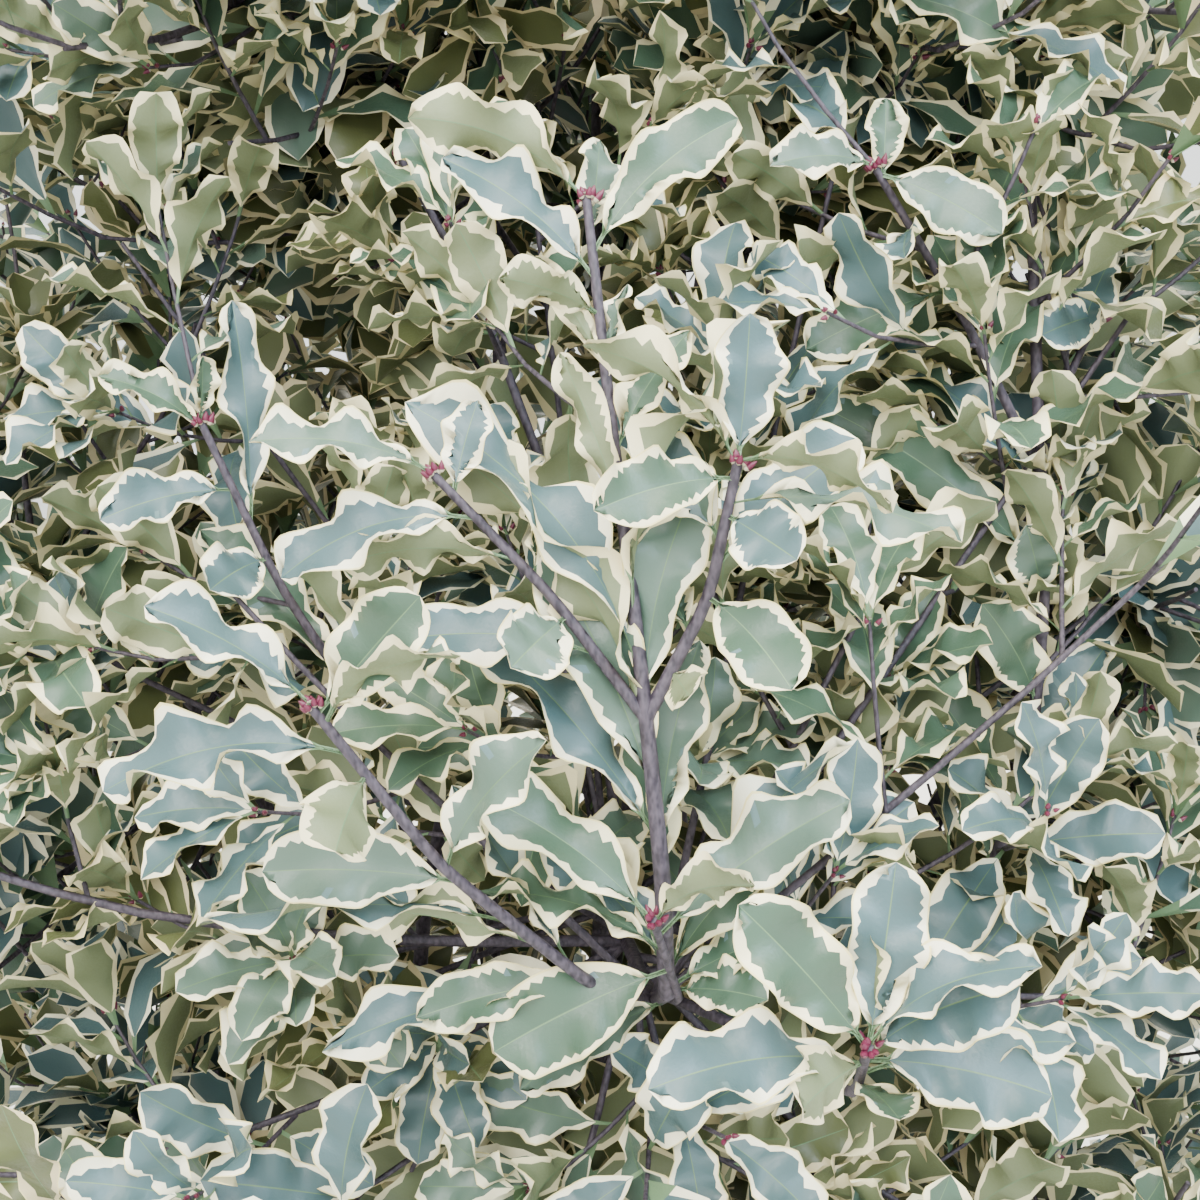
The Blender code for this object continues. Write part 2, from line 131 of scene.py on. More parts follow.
twigSizes = {"stemTip": 0.0030, "stemSteps": 4, "stemOut": 0.045, "stemUp": 0.05, "stemSlope": 1.1,
             "foot": 0.0028, "tip": 0.0015, "steps": 3, "inner": 1, "innerFill": (0.52, 0.78),
             "outerFill": (0.83, 0.92), "inset": 0.014, "tipClear": 0.03, "lowestTip": 0.10, "search": 0.34,
             "tries": 700, "lead": 0.2, "places": 12, "lowest": 0.12, "highest": 0.9, "clear": 0.006,
             "massGap": 0.006, "frontStep": 0.07, "frontTwigs": 5, "footBend": 0.5,
             "tipPulls": (0.8, 0.5, 0.75),
             "frontStemEnd": Vector((0.026, -0.430, 0.690)), "frontStemWay": Vector((0.0, -0.55, 0.84))}
# parent, share of it, way at the foot, tip, way at the tip, radii at foot and tip
frontShoots = {
    "centre": ("stem", 1.0, (0.0, -0.7, 0.7), (-0.005, -0.407, 0.992), (-0.1, 0.2, 1.0), 0.0035, 0.0017),
    "leftFork": ("centre", 0.4, (-0.3, 0.1, 0.8), (-0.059, -0.449, 0.898), (-0.6, 0.0, 0.8), 0.0023, 0.0015),
    "rightFork": ("centre", 0.4, (0.6, 0.0, 0.8), (0.048, -0.449, 0.902), (0.1, 0.0, 1.0), 0.0026, 0.0018),
    "lowLeft": ("stem", 0.8, (0.1, -0.9, 0.1), (-0.099, -0.477, 0.822), (-0.3, 0.1, 0.7), 0.0027, 0.0018),
    "lowCentre": ("stem", 0.7, (0.5, -0.8, -0.1), (0.019, -0.466, 0.738), (-0.3, -0.2, 0.9), 0.0021, 0.0015),
    "lowRight": ("stem", 0.7, (0.9, -0.5, 0.1), (0.086, -0.531, 0.724), (-0.3, -0.2, 1.0), 0.0024, 0.0017),
    "right": ("stem", 0.15, (1.9, -0.8, -0.6), (0.182, -0.300, 1.020), (0.0, 0.2, 1.2), 0.0034, 0.0023),
    "rightInner": ("right", 0.74, (-0.5, 0.0, 0.7), (0.109, -0.342, 1.006), (-0.7, -0.1, 0.7), 0.0023,
                   0.0015),
    "rightOuter": ("right", 0.74, (0.6, 0.1, 0.8), (0.218, -0.298, 0.946), (0.8, 0.3, 0.1), 0.0021, 0.0015),
    "farLeft": ("stem", 0.4, (-0.7, -0.6, 0.5), (-0.165, -0.345, 0.904), (-0.3, 0.0, 0.9), 0.0028, 0.0016),
    "backLeft": ("stem", 0.25, (0.1, -0.7, 0.7), (-0.092, -0.250, 1.015), (-0.6, 0.5, 0.8), 0.0028, 0.0016),
    "backCentre": ("stem", 0.1, (0.4, -0.2, 0.9), (0.063, -0.200, 1.005), (0.0, 0.2, 1.0), 0.0030, 0.0018),
}


def toward(azimuth, reach, height):
    angle = math.radians(azimuth)
    return Vector((reach * math.cos(angle), reach * math.sin(angle), height))


def across(axis):
    helper = Vector((1.0, 0.0, 0.0)) if abs(axis.x) < 0.8 else Vector((0.0, 1.0, 0.0))
    side = axis.cross(helper).normalized()
    return side, axis.cross(side).normalized()


def bow(start, startWay, end, endWay, steps):
    pull = (end - start).length
    path = []
    for step in range(steps + 1):
        t = step / steps
        a, b = 2 * t**3 - 3 * t**2 + 1, t**3 - 2 * t**2 + t
        c, d = -2 * t**3 + 3 * t**2, t**3 - t**2
        path.append(a * start + b * pull * startWay + c * end + d * pull * endWay)
    return path


def along(path, share):
    lengths = [(b - a).length for a, b in zip(path, path[1:])]
    left = share * sum(lengths)
    for a, b, length in zip(path, path[1:], lengths):
        if left <= length or b is path[-1]:
            return a.lerp(b, left / length), (b - a).normalized()
        left -= length


def endWay(path):
    return (path[-1] - path[-2]).normalized()


def fill(point):
    # 0 in the middle of the crown, 1 on its outside
    top = crown["height"] - crown["waist"]
    half = top if point.z > crown["waist"] else crown["waist"] - crown["foot"]
    level = (point.z - crown["waist"]) / half
    return math.sqrt((point.x**2 + point.y**2) / crown["radius"]**2 + level**2)


def sectorAzimuth(tier, sector):
    return crown["frontAzimuth"] + tiers[tier]["turn"] + sector * 360 / crown["sectors"]


sites = {f"{tier}_{sector + 1}": toward(sectorAzimuth(tier, sector), size["reach"], size["height"])
         for tier, size in tiers.items() for sector in range(crown["sectors"])}


def extraSpace(name):
    return crown["frontExtraSpace"] if name == crown["frontMass"] else 0.0


def inSpace(name, point, margin):
    site = sites[name]
    for other, place in sites.items():
        if other == name:
            continue
        apart = place - site
        lead = (extraSpace(name) - extraSpace(other)) / 2
        if (point - (site + place) / 2).dot(apart) > lead - margin * apart.length:
            return False
    return True


def inWindow(point):
    return all(crown["windowLow"][i] < point[i] < crown["windowHigh"][i] for i in range(3))


def clearOfLimbs(point, limbs, gap):
    for path, radii in limbs:
        for a, b, radius in zip(path, path[1:], radii):
            share = max(0.0, min(1.0, (point - a).dot(b - a) / (b - a).length_squared))
            if (point - a.lerp(b, share)).length < radius + gap:
                return False
    return True


def tapers(first, last, count):
    return [first + (last - first) * step / (count - 1) for step in range(count)]


def boughPaths():
    paths = []
    for sector in range(crown["sectors"]):
        azimuth = crown["frontAzimuth"] + sector * 360 / crown["sectors"]
        height = limbSizes["trunkHeight"] + limbSizes["seatGap"]
        foot = limbSizes["trunkLean"] + toward(azimuth, limbSizes["boughRing"], height)
        fork = toward(azimuth, limbSizes["forkReach"], limbSizes["forkHeight"])
        footWay = toward(azimuth, limbSizes["footSlope"], 1.0).normalized()
        forkWay = toward(azimuth, limbSizes["forkSlope"], 1.0).normalized()
        paths.append(bow(foot, footWay, fork, forkWay, limbSizes["boughSteps"]))
    return paths


def crossing(turns, places, fork, side, up):
    total = 0.0
    for tier, turn in turns.items():
        total -= (places[tier] - fork).normalized().dot(math.cos(turn) * side + math.sin(turn) * up)
    return total


def limbPaths(boughs):
    limbs = {}
    for sector, bough in enumerate(boughs):
        fork, way = bough[-1], endWay(bough)
        side, up = across(way)
        places = {tier: toward(sectorAzimuth(tier, sector), size["limbReach"], size["limbHeight"])
                  for tier, size in tiers.items()}
        low = places["low"] - fork
        first = math.atan2(low.dot(up), low.dot(side))
        turns = {"low": first, "mid": first + math.radians(120), "top": first - math.radians(120)}
        swapped = {"low": first, "mid": turns["top"], "top": turns["mid"]}
        chosen = min((turns, swapped), key=lambda t: crossing(t, places, fork, side, up))
        for tier, size in tiers.items():
            ring = math.cos(chosen[tier]) * side + math.sin(chosen[tier]) * up
            foot = fork + way * limbSizes["seatGap"] + limbSizes["limbSpread"] * ring
            lift = Vector((0.0, 0.0, limbSizes["limbLift"]))
            tipWay = (sites[f"{tier}_{sector + 1}"] - places[tier] + lift).normalized()
            path = bow(foot, way, places[tier], tipWay, limbSizes["limbSteps"])
            limbs[f"{tier}_{sector + 1}"] = (path, tapers(limbSizes["limbFoot"], size["limbTip"], len(path)))
    return limbs


def boughRadii(count):
    radii = tapers(limbSizes["boughFoot"], limbSizes["boughTip"], count)
    radii[-1] = limbSizes["boughKnuckle"]
    return radii


def stemPath(name, path):
    way = endWay(path)
    start = path[-1] + way * limbSizes["seatGap"]
    if name == crown["frontMass"]:
        return bow(start, way, twigSizes["frontStemEnd"], twigSizes["frontStemWay"], twigSizes["stemSteps"])
    outward = Vector((sites[name].x, sites[name].y, 0.0)).normalized()
    end = sites[name] + outward * twigSizes["stemOut"] + Vector((0.0, 0.0, twigSizes["stemUp"]))
    tipWay = (outward * twigSizes["stemSlope"] + Vector((0.0, 0.0, 1.0))).normalized()
    return bow(start, way, end, tipWay, twigSizes["stemSteps"])


def furthestTip(rng, name, tips, limbs, reach, tries, inset, clear):
    # of many points inside the mass's space, the one furthest from the tips so far
    low, high = reach
    search = twigSizes["search"]
    best, furthest = None, 0.0
    for _ in range(tries):
        point = sites[name] + Vector([rng.uniform(-search, search) for _ in range(3)])
        if not low < fill(point) < high or point.z < twigSizes["lowestTip"] or inWindow(point):
            continue
        if not inSpace(name, point, inset) or not clearOfLimbs(point, limbs, clear):
            continue
        apart = min([(point - tip).length for tip in tips], default=1.0)
        if apart > furthest:
            best, furthest = point, apart
    return best


def spreadTips(rng, name, count, taken, limbs):
    tips = list(taken)
    for number in range(count):
        reach = twigSizes["innerFill"] if number < twigSizes["inner"] else twigSizes["outerFill"]
        best = furthestTip(rng, name, tips, limbs, reach, twigSizes["tries"], twigSizes["inset"],
                           twigSizes["tipClear"])
        if best is not None:
            tips.append(best)
    return tips[len(taken):]


def twigPath(stem, tip):
    shares = [step / twigSizes["places"] for step in range(twigSizes["places"] + 1)]
    nearest = min(shares, key=lambda share: (along(stem, share)[0] - tip).length)
    foot, way = along(stem, max(twigSizes["lowest"], min(twigSizes["highest"], nearest - twigSizes["lead"])))
    straight = (tip - foot).normalized()
    outward = Vector((tip.x, tip.y, 0.0)).normalized()
    onward, sideward, upward = twigSizes["tipPulls"]
    tipWay = (onward * straight + sideward * outward + Vector((0.0, 0.0, upward))).normalized()
    footWay = (straight + twigSizes["footBend"] * way).normalized()
    return bow(foot, footWay, tip, tipWay, twigSizes["steps"])


def frontPaths(stem):
    # each front shoot starts on its parent, the stem or another shoot
    paths = {"stem": stem}
    shoots = {}
    for name, (parent, share, footWay, tip, tipWay, footRadius, tipRadius) in frontShoots.items():
        foot = along(paths[parent], share)[0]
        steps = max(2, round((Vector(tip) - foot).length / twigSizes["frontStep"]))
        paths[name] = bow(foot, Vector(footWay), Vector(tip), Vector(tipWay), steps)
        shoots[name] = (paths[name], footRadius, tipRadius)
    return shoots


def massSkeletons(limbs, solidLimbs):
    masses, tips = {}, []
    for name in sorted(limbs, key=lambda each: each != crown["frontMass"]):
        rng = random.Random(f"{crown['seed']} {name}")
        stem = stemPath(name, limbs[name][0])
        shoots = frontPaths(stem) if name == crown["frontMass"] else {}
        twigs = []
        tips += [shoot[0][-1] for shoot in shoots.values()]
        count = twigSizes["frontTwigs"] if name == crown["frontMass"] else tiers[name[:3]]["twigs"]
        for tip in spreadTips(rng, name, count, tips, solidLimbs):
            path = twigPath(stem, tip)
            gap = twigSizes["massGap"]
            inside = all(inSpace(name, point, gap) and not inWindow(point) for point in path[1:])
            if inside and all(clearOfLimbs(point, solidLimbs, twigSizes["clear"]) for point in path[1:]):
                twigs.append((path, twigSizes["foot"], twigSizes["tip"]))
                tips.append(tip)
        masses[name] = (stem, twigs, shoots)
    return masses


boughs = boughPaths()
limbs = limbPaths(boughs)
solidLimbs = [(path, boughRadii(len(path))) for path in boughs] + list(limbs.values())
masses = massSkeletons(limbs, solidLimbs)
print("skeleton grown:", sum(len(twigs) + len(shoots) for stem, twigs, shoots in masses.values()), "twigs")


# Materials
# the blue tint is partly the leaf's own grey-green and partly a painted bluish sky reflection
# the olive tint, darker and yellower in both green and cream, is painted shade for the leaves deep inside the
# crown
leafColours = {
    "green": {"blue": (0.066, 0.120, 0.126), "leafy": (0.060, 0.112, 0.072), "pale": (0.090, 0.146, 0.110),
              "olive": (0.100, 0.115, 0.044)},
    "cream": {"blue": (0.920, 0.870, 0.640), "leafy": (0.900, 0.820, 0.520), "pale": (0.920, 0.860, 0.600),
              "olive": (0.720, 0.610, 0.350)},
    "rim": (0.840, 0.730, 0.340),
    "streak": (0.110, 0.180, 0.180),
    "rib": (0.120, 0.200, 0.100),
    "underGreen": (0.150, 0.180, 0.090),
    "underCream": (0.760, 0.680, 0.400),
}
leafFinish = {"roughness": 0.38, "plainRoughness": 0.55, "veinScale": 900.0, "veinDepth": 0.00008}
grainRange = {"low": 0.3, "high": 0.7, "smoother": 0.08, "rougher": 0.10}
barkFinish = {
    "bark_grey": {"colour": (0.030, 0.024, 0.026), "twoTone": (0.110, 0.092, 0.090), "roughness": 0.75,
                  "scale": 260.0, "depth": 0.0012, "stretch": 0.35},
    "bark_plum": {"colour": (0.022, 0.016, 0.026), "twoTone": (0.085, 0.068, 0.090), "roughness": 0.60,
                  "scale": 520.0, "depth": 0.0005, "stretch": 0.5},
}
budFinish = {
    "bud_crimson": {"colour": (0.125, 0.014, 0.042), "roughness": 0.40, "scale": 700.0, "depth": 0.0001},
    "bud_pale": {"colour": (0.520, 0.470, 0.330), "roughness": 0.45, "scale": 700.0, "depth": 0.0001},
}


def addSockets(tree, entries, leaves):
    for direction, wanted in (("INPUT", entries), ("OUTPUT", leaves)):
        for name, kind in wanted:
            tree.interface.new_socket(name, in_out=direction, socket_type="NodeSocket" + kind)
    return tree.nodes.new("NodeGroupInput"), tree.nodes.new("NodeGroupOutput")


def wire(tree, *pairs):
    # each pair: a node and its output, then a node and its input
    for source, output, target, entry in pairs:
        tree.links.new(source.outputs[output], target.inputs[entry])


def fineRelief():
    # grain shared by leaves and bark, from object coordinates
    group = bpy.data.node_groups.new("fineRelief", "ShaderNodeTree")
    entry, leave = addSockets(group, (("Scale", "Float"), ("Stretch", "Float")), (("Grain", "Float"),))
    where = group.nodes.new("ShaderNodeTexCoord")
    squash = group.nodes.new("ShaderNodeVectorMath")
    squash.operation = "MULTIPLY"
    pack = group.nodes.new("ShaderNodeCombineXYZ")
    pack.inputs["X"].default_value = 1.0
    pack.inputs["Y"].default_value = 1.0
    cloud = group.nodes.new("ShaderNodeTexNoise")
    cloud.inputs["Detail"].default_value = 1.0
    wire(group, (entry, "Stretch", pack, "Z"), (where, "Object", squash, 0), (pack, "Vector", squash, 1),
         (squash, "Vector", cloud, "Vector"), (entry, "Scale", cloud, "Scale"),
         (cloud, "Fac", leave, "Grain"))
    return group


reliefGroup = fineRelief()


def mapped(tree, grain, low, high):
    spread = tree.nodes.new("ShaderNodeMapRange")
    limits = {"From Min": grainRange["low"], "From Max": grainRange["high"], "To Min": low, "To Max": high}
    for name, value in limits.items():
        spread.inputs[name].default_value = value
    wire(tree, (grain, "Grain", spread, "Value"))
    return spread


def finishMaterial(name, colour, roughness, scale, depth, stretch=1.0, twoTone=None):
    material = bpy.data.materials.new(name)
    material.use_nodes = True
    tree = material.node_tree
    shader = tree.nodes["Principled BSDF"]
    shader.inputs["Base Color"].default_value = (*colour, 1.0)
    grain = tree.nodes.new("ShaderNodeGroup")
    grain.node_tree = reliefGroup
    grain.inputs["Scale"].default_value = scale
    grain.inputs["Stretch"].default_value = stretch
    bump = tree.nodes.new("ShaderNodeBump")
    bump.inputs["Distance"].default_value = depth
    uneven = mapped(tree, grain, roughness - grainRange["smoother"], roughness + grainRange["rougher"])
    wire(tree, (grain, "Grain", bump, "Height"), (bump, "Normal", shader, "Normal"),
         (uneven, "Result", shader, "Roughness"))
    if twoTone:
        # a Mix node's inputs 6 and 7 are its two colours, and its output 2 is the mixed one
        blend = tree.nodes.new("ShaderNodeMix")
        blend.data_type = "RGBA"
        blend.inputs[6].default_value = (*colour, 1.0)
        blend.inputs[7].default_value = (*twoTone, 1.0)
        share = mapped(tree, grain, 0.0, 1.0)
        wire(tree, (share, "Result", blend, "Factor"), (blend, 2, shader, "Base Color"))
    return material


def leafMaterial(name, colour, roughness):
    return finishMaterial(name, colour, roughness, leafFinish["veinScale"], leafFinish["veinDepth"])


tintNames = ("blue", "leafy", "pale", "olive")
zones = {"green": 0, "cream": 1, "rim": 2, "rib": 3, "streak": 4, "underGreen": 5, "underCream": 6}
leafPalette = []      # zone, tint or None, material
for tintNumber, tint in enumerate(tintNames):
    for part in ("green", "cream"):
        material = leafMaterial(f"leaf_{part}_{tint}", leafColours[part][tint], leafFinish["roughness"])
        leafPalette.append((zones[part], tintNumber, material))
for part in ("rim", "rib", "streak", "underGreen", "underCream"):
    material = leafMaterial(f"leaf_{part}", leafColours[part], leafFinish["plainRoughness"])
    leafPalette.append((zones[part], None, material))
paletteSlot = {(zone, tint): number for number, (zone, tint, material) in enumerate(leafPalette)}
budPalette = [(zone, None, finishMaterial(name, **finish))
              for zone, (name, finish) in enumerate(budFinish.items())]
barkOld, barkYoung = [finishMaterial(name, **finish) for name, finish in barkFinish.items()]
print("materials made")


# Meshes from arrays
def arrayMesh(name, points, quads, slots, materials):
    mesh = bpy.data.meshes.new(name)
    mesh.vertices.add(len(points))
    mesh.vertices.foreach_set("co", np.asarray(points, np.float32).ravel())
    mesh.loops.add(len(quads) * 4)
    mesh.loops.foreach_set("vertex_index", np.asarray(quads, np.int32).ravel())
    mesh.polygons.add(len(quads))
    mesh.polygons.foreach_set("loop_start", np.arange(0, len(quads) * 4, 4, dtype=np.int32))
    mesh.polygons.foreach_set("loop_total", np.full(len(quads), 4, np.int32))
    for material in materials:
        mesh.materials.append(material)
    mesh.polygons.foreach_set("material_index", np.asarray(slots, np.int32))
    mesh.polygons.foreach_set("use_smooth", np.ones(len(quads), bool))
    mesh.update(calc_edges=True)
    return mesh


def addObject(name, mesh):
    item = bpy.data.objects.new(name, mesh)
    bpy.context.scene.collection.objects.link(item)
    return item


def intoFrame(item, nodes):
    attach(item, "root")
    if nodes:
        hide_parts(*nodes)


# One leaf, as a grid of points: stations up the blade, lines across it
leafShape = {"petiole": 0.13, "petioleHalf": 0.0009, "petioleTo": 0.6, "powers": (0.8, 0.48), "peak": 0.441,
             "shear": 0.07, "usualLength": 0.055, "thickness": 0.00035, "fold": 0.32, "folds": (0.4, 1.3),
             "twist": 26.0, "untwisted": 0.4}
waveShape = {"counts": (2.0, 3.4), "height": 0.0050, "heights": (0.6, 1.35), "outward": 1.7,
             "ripple": 0.16, "rippleCount": 2.3, "rippleOutward": 2.5}
creamEdge = {"width": 0.0015, "widths": (0.75, 1.2), "teeth": 0.0024,
             "toothRanges": ((0.0, 0.25), (0.2, 1.0)),
             "patch": 0.0034, "patchPlaces": (0.25, 0.95), "patchSpreads": (0.06, 0.16), "tipFrom": 0.85,
             "tipSpan": 0.15, "tipPatches": (0.3, 1.0), "leastHalf": 0.0012, "mostGreen": 0.93,
             "edgeAt": 0.85, "ribTo": 0.1}
fineLeaf = {"stations": 30, "lines": (0.018, 0.5, "edge", 0.955, 1.0), "under": True, "leastGreen": 0.06,
            "streaks": 0.025}
nearLeaf = {"stations": 18, "lines": (0.022, "edge", 0.95, 1.0), "under": True, "leastGreen": 0.06,
            "streaks": 0}
midLeaf = {"stations": 8, "lines": (0.0, "edge", 1.0), "under": True, "leastGreen": 0.25, "streaks": 0}
farLeaf = {"stations": 5, "lines": (0.0, "edge", 1.0), "under": False, "leastGreen": 0.25, "streaks": 0}


def outline(t):
    # half-width as a share of the widest: narrow foot, widest past the middle, short point
    blade = np.clip((t - leafShape["petiole"]) / (1 - leafShape["petiole"]), 0.0, 1.0)
    foot, point = leafShape["powers"]
    return (blade**foot) * ((1 - blade)**point) / leafShape["peak"]


def leafGrid(bend, upper, width, detail, rng, wave=1.0):
    # bend: three points of the midrib's curve; upper: the way its upper side faces
    start, middle, end = (np.array(p, float) for p in bend)
    stations = detail["stations"]
    t = np.linspace(0.0, 1.0, stations)
    length = float(np.linalg.norm(middle - start) + np.linalg.norm(end - middle))
    half = width / 2
    margins = []
    for side in (-1, 1):
        tooth = np.array([rng.uniform(*creamEdge["toothRanges"][n % 2]) for n in range(stations)])
        centre, spread = rng.uniform(*creamEdge["patchPlaces"]), rng.uniform(*creamEdge["patchSpreads"])
        patch = np.exp(-((t - centre) / spread)**2) * rng.uniform(0.0, 1.0) * creamEdge["patch"]
        tipward = np.clip((t - creamEdge["tipFrom"]) / creamEdge["tipSpan"], 0, 1)
        patch += tipward * rng.uniform(*creamEdge["tipPatches"]) * creamEdge["patch"]
        plain = creamEdge["width"] * rng.uniform(*creamEdge["widths"])
        margins.append(plain + tooth * creamEdge["teeth"] + patch)
    reach = np.maximum(half * outline(t), leafShape["petioleHalf"])
    lines = detail["lines"]
    columns = [(-1, line) for line in reversed(lines) if line != 0.0] + [(1, line) for line in lines]
    sideShare = np.zeros((stations, len(columns)))
    for number, (side, line) in enumerate(columns):
        if line == "edge":
            share = 1 - margins[(side + 1) // 2] / np.maximum(reach, creamEdge["leastHalf"])
            share = np.clip(share, detail["leastGreen"], creamEdge["mostGreen"])
        else:
            share = np.full(stations, float(line))
        sideShare[:, number] = side * share
    size = np.abs(sideShare)
    ts = np.clip(t[:, None] + leafShape["shear"] * size * np.sin(np.pi * t)[:, None], 0.0, 1.0)
    a, b, c = (1 - ts)**2, 2 * ts * (1 - ts), ts**2
    spine = a[..., None] * start + b[..., None] * middle + c[..., None] * end
    tangent = (1 - ts)[..., None] * (middle - start) + ts[..., None] * (end - middle)
    tangent /= np.linalg.norm(tangent, axis=-1, keepdims=True)
    facing = np.array(upper, float)
    flank = np.cross(tangent, facing)
    turned = math.radians(rng.uniform(-1, 1) * leafShape["twist"] * wave) * (ts - leafShape["untwisted"])
    facing = facing * np.cos(turned)[..., None] + flank * np.sin(turned)[..., None]
    normal = facing - tangent * (tangent * facing).sum(axis=-1)[..., None]
    normal /= np.maximum(np.linalg.norm(normal, axis=-1, keepdims=True), 1e-6)
    sideways = np.cross(tangent, normal)
    halfHere = np.maximum(half * outline(ts), leafShape["petioleHalf"] * (ts < leafShape["petioleTo"]))
    blade = np.clip(outline(ts), 0, 1)
    lift = leafShape["fold"] * rng.uniform(*leafShape["folds"]) * size * halfHere
    for side in (-1, 1):
        count, phase = rng.uniform(*waveShape["counts"]), rng.uniform(0, 2 * math.pi)
        turns = 2 * math.pi * count * ts
        waves = np.sin(turns + phase) * size**waveShape["outward"] * blade
        ripples = np.sin(waveShape["rippleCount"] * turns + 2 * phase)
        waves = waves + waveShape["ripple"] * (ripples * size**waveShape["rippleOutward"] * blade)
        height = waveShape["height"] * wave * rng.uniform(*waveShape["heights"])
        height = height * length / leafShape["usualLength"]
        lift = lift + np.where(np.sign(sideShare) == side, waves * height, 0.0)
    points = spine + sideways * (sideShare * halfHere)[..., None] + normal * lift[..., None]
    return points, normal, size, columns


def placeAcross(line):
    return creamEdge["edgeAt"] if line == "edge" else line


def zoneBetween(lineA, lineB):
    inner, outer = sorted((lineA, lineB), key=placeAcross)
    if placeAcross(outer) <= creamEdge["ribTo"]:
        return "rib"
    if placeAcross(outer) <= creamEdge["edgeAt"]:
        return "green"
    return "cream" if inner == "edge" else "rim"


def leafFaces(points, normal, size, columns, rng, detail):
    # the upper layer and, where wanted, the underside: points, faces and each face's zone
    stations, count = size.shape
    index = np.arange(stations * count).reshape(stations, count)
    quads = np.stack([index[:-1, :-1], index[:-1, 1:], index[1:, 1:], index[1:, :-1]], axis=-1).reshape(-1, 4)
    zoneRow = [zoneBetween(lineA, lineB) for (_, lineA), (_, lineB) in zip(columns, columns[1:])]
    zoneGrid = np.array([[zones[zone] for zone in zoneRow]] * (stations - 1))
    stalk = int(round(leafShape["petiole"] * (stations - 1)))
    zoneGrid[:stalk, :] = zones["rib"]
    if detail["streaks"]:
        for row in range(stalk + 2, stations - 3):
            for column in range(1, len(zoneRow) - 1):
                beside = zones["cream"] in (zoneGrid[row, column - 1], zoneGrid[row, column + 1])
                if beside and zoneGrid[row, column] == zones["green"] and rng.random() < detail["streaks"]:
                    zoneGrid[row, column] = zones["streak"]
    allPoints, allQuads, allZones = [points.reshape(-1, 3)], [quads[:, ::-1]], [zoneGrid.ravel()]
    if detail["under"]:
        gap = leafShape["thickness"] * (1 - size**4)[..., None]
        allPoints.append((points - normal * gap).reshape(-1, 3))
        # turned by one corner, so that both layers are split along the same diagonal
        allQuads.append(np.roll(quads, -1, axis=1) + stations * count)
        under = np.full(zoneGrid.shape, zones["underGreen"])
        under[(zoneGrid == zones["cream"]) | (zoneGrid == zones["rim"])] = zones["underCream"]
        under[zoneGrid == zones["rib"]] = zones["rib"]
        allZones.append(under.ravel())
    return np.concatenate(allPoints), np.concatenate(allQuads), np.concatenate(allZones)


def zoneSlots(zoneList, tint):
    table = [paletteSlot.get((zone, None), paletteSlot.get((zone, tint), 0)) for zone in range(len(zones))]
    return np.array(table)[zoneList]


# Geometry Nodes: a scatter of shapes, and tubes along twigs
def setInput(modifier, tree, name, value):
    for socket in tree.interface.items_tree:
        if socket.name == name and socket.in_out == "INPUT":
            modifier[socket.identifier] = value


def namedValue(nodes, name, kind):
    node = nodes.new("GeometryNodeInputNamedAttribute")
    node.data_type = kind
    node.inputs["Name"].default_value = name
    return node.outputs["Attribute"]


def sameNumber(tree, name, number):
    compare = tree.nodes.new("FunctionNodeCompare")
    compare.data_type = "INT"
    compare.operation = "EQUAL"
    sockets = {socket.identifier: socket for socket in compare.inputs}
    tree.links.new(namedValue(tree.nodes, name, "INT"), sockets["A_INT"])
    sockets["B_INT"].default_value = number
    return compare.outputs["Result"]


def scatterTree(name, palette):
    # picks a shape for each point, turns and sizes it, and gives its zones their materials
    tree = bpy.data.node_groups.new(name, "GeometryNodeTree")
    entry, leave = addSockets(tree, (("Geometry", "Geometry"), ("Shapes", "Collection"), ("Size", "Float")),
                              (("Geometry", "Geometry"),))
    nodes, links = tree.nodes, tree.links
    shapes = nodes.new("GeometryNodeCollectionInfo")
    shapes.inputs["Separate Children"].default_value = True
    shapes.inputs["Reset Children"].default_value = True
    place = nodes.new("GeometryNodeInstanceOnPoints")
    place.inputs["Pick Instance"].default_value = True
    turn = nodes.new("FunctionNodeEulerToRotation")
    grow = nodes.new("ShaderNodeMath")
    grow.operation = "MULTIPLY"
    realize = nodes.new("GeometryNodeRealizeInstances")
    for name, kind, socket in (("variant", "INT", place.inputs["Instance Index"]),
                               ("turned", "FLOAT_VECTOR", turn.inputs["Euler"]),
                               ("grown", "FLOAT", grow.inputs[0])):
        links.new(namedValue(nodes, name, kind), socket)
    wire(tree, (entry, "Shapes", shapes, "Collection"), (entry, "Geometry", place, "Points"),
         (shapes, "Instances", place, "Instance"), (turn, "Rotation", place, "Rotation"),
         (entry, "Size", grow, 1), (grow, "Value", place, "Scale"), (place, "Instances", realize, "Geometry"))
    geometry = realize.outputs["Geometry"]
    for zone, tint, material in palette:
        paint = nodes.new("GeometryNodeSetMaterial")
        paint.inputs["Material"].default_value = material
        chosen = sameNumber(tree, "zone", zone)
        if tint is not None:
            both = nodes.new("FunctionNodeBooleanMath")
            both.operation = "AND"
            links.new(chosen, both.inputs[0])
            links.new(sameNumber(tree, "tint", tint), both.inputs[1])
            chosen = both.outputs["Boolean"]
        links.new(chosen, paint.inputs["Selection"])
        links.new(geometry, paint.inputs["Geometry"])
        geometry = paint.outputs["Geometry"]
    links.new(geometry, leave.inputs["Geometry"])
    return tree


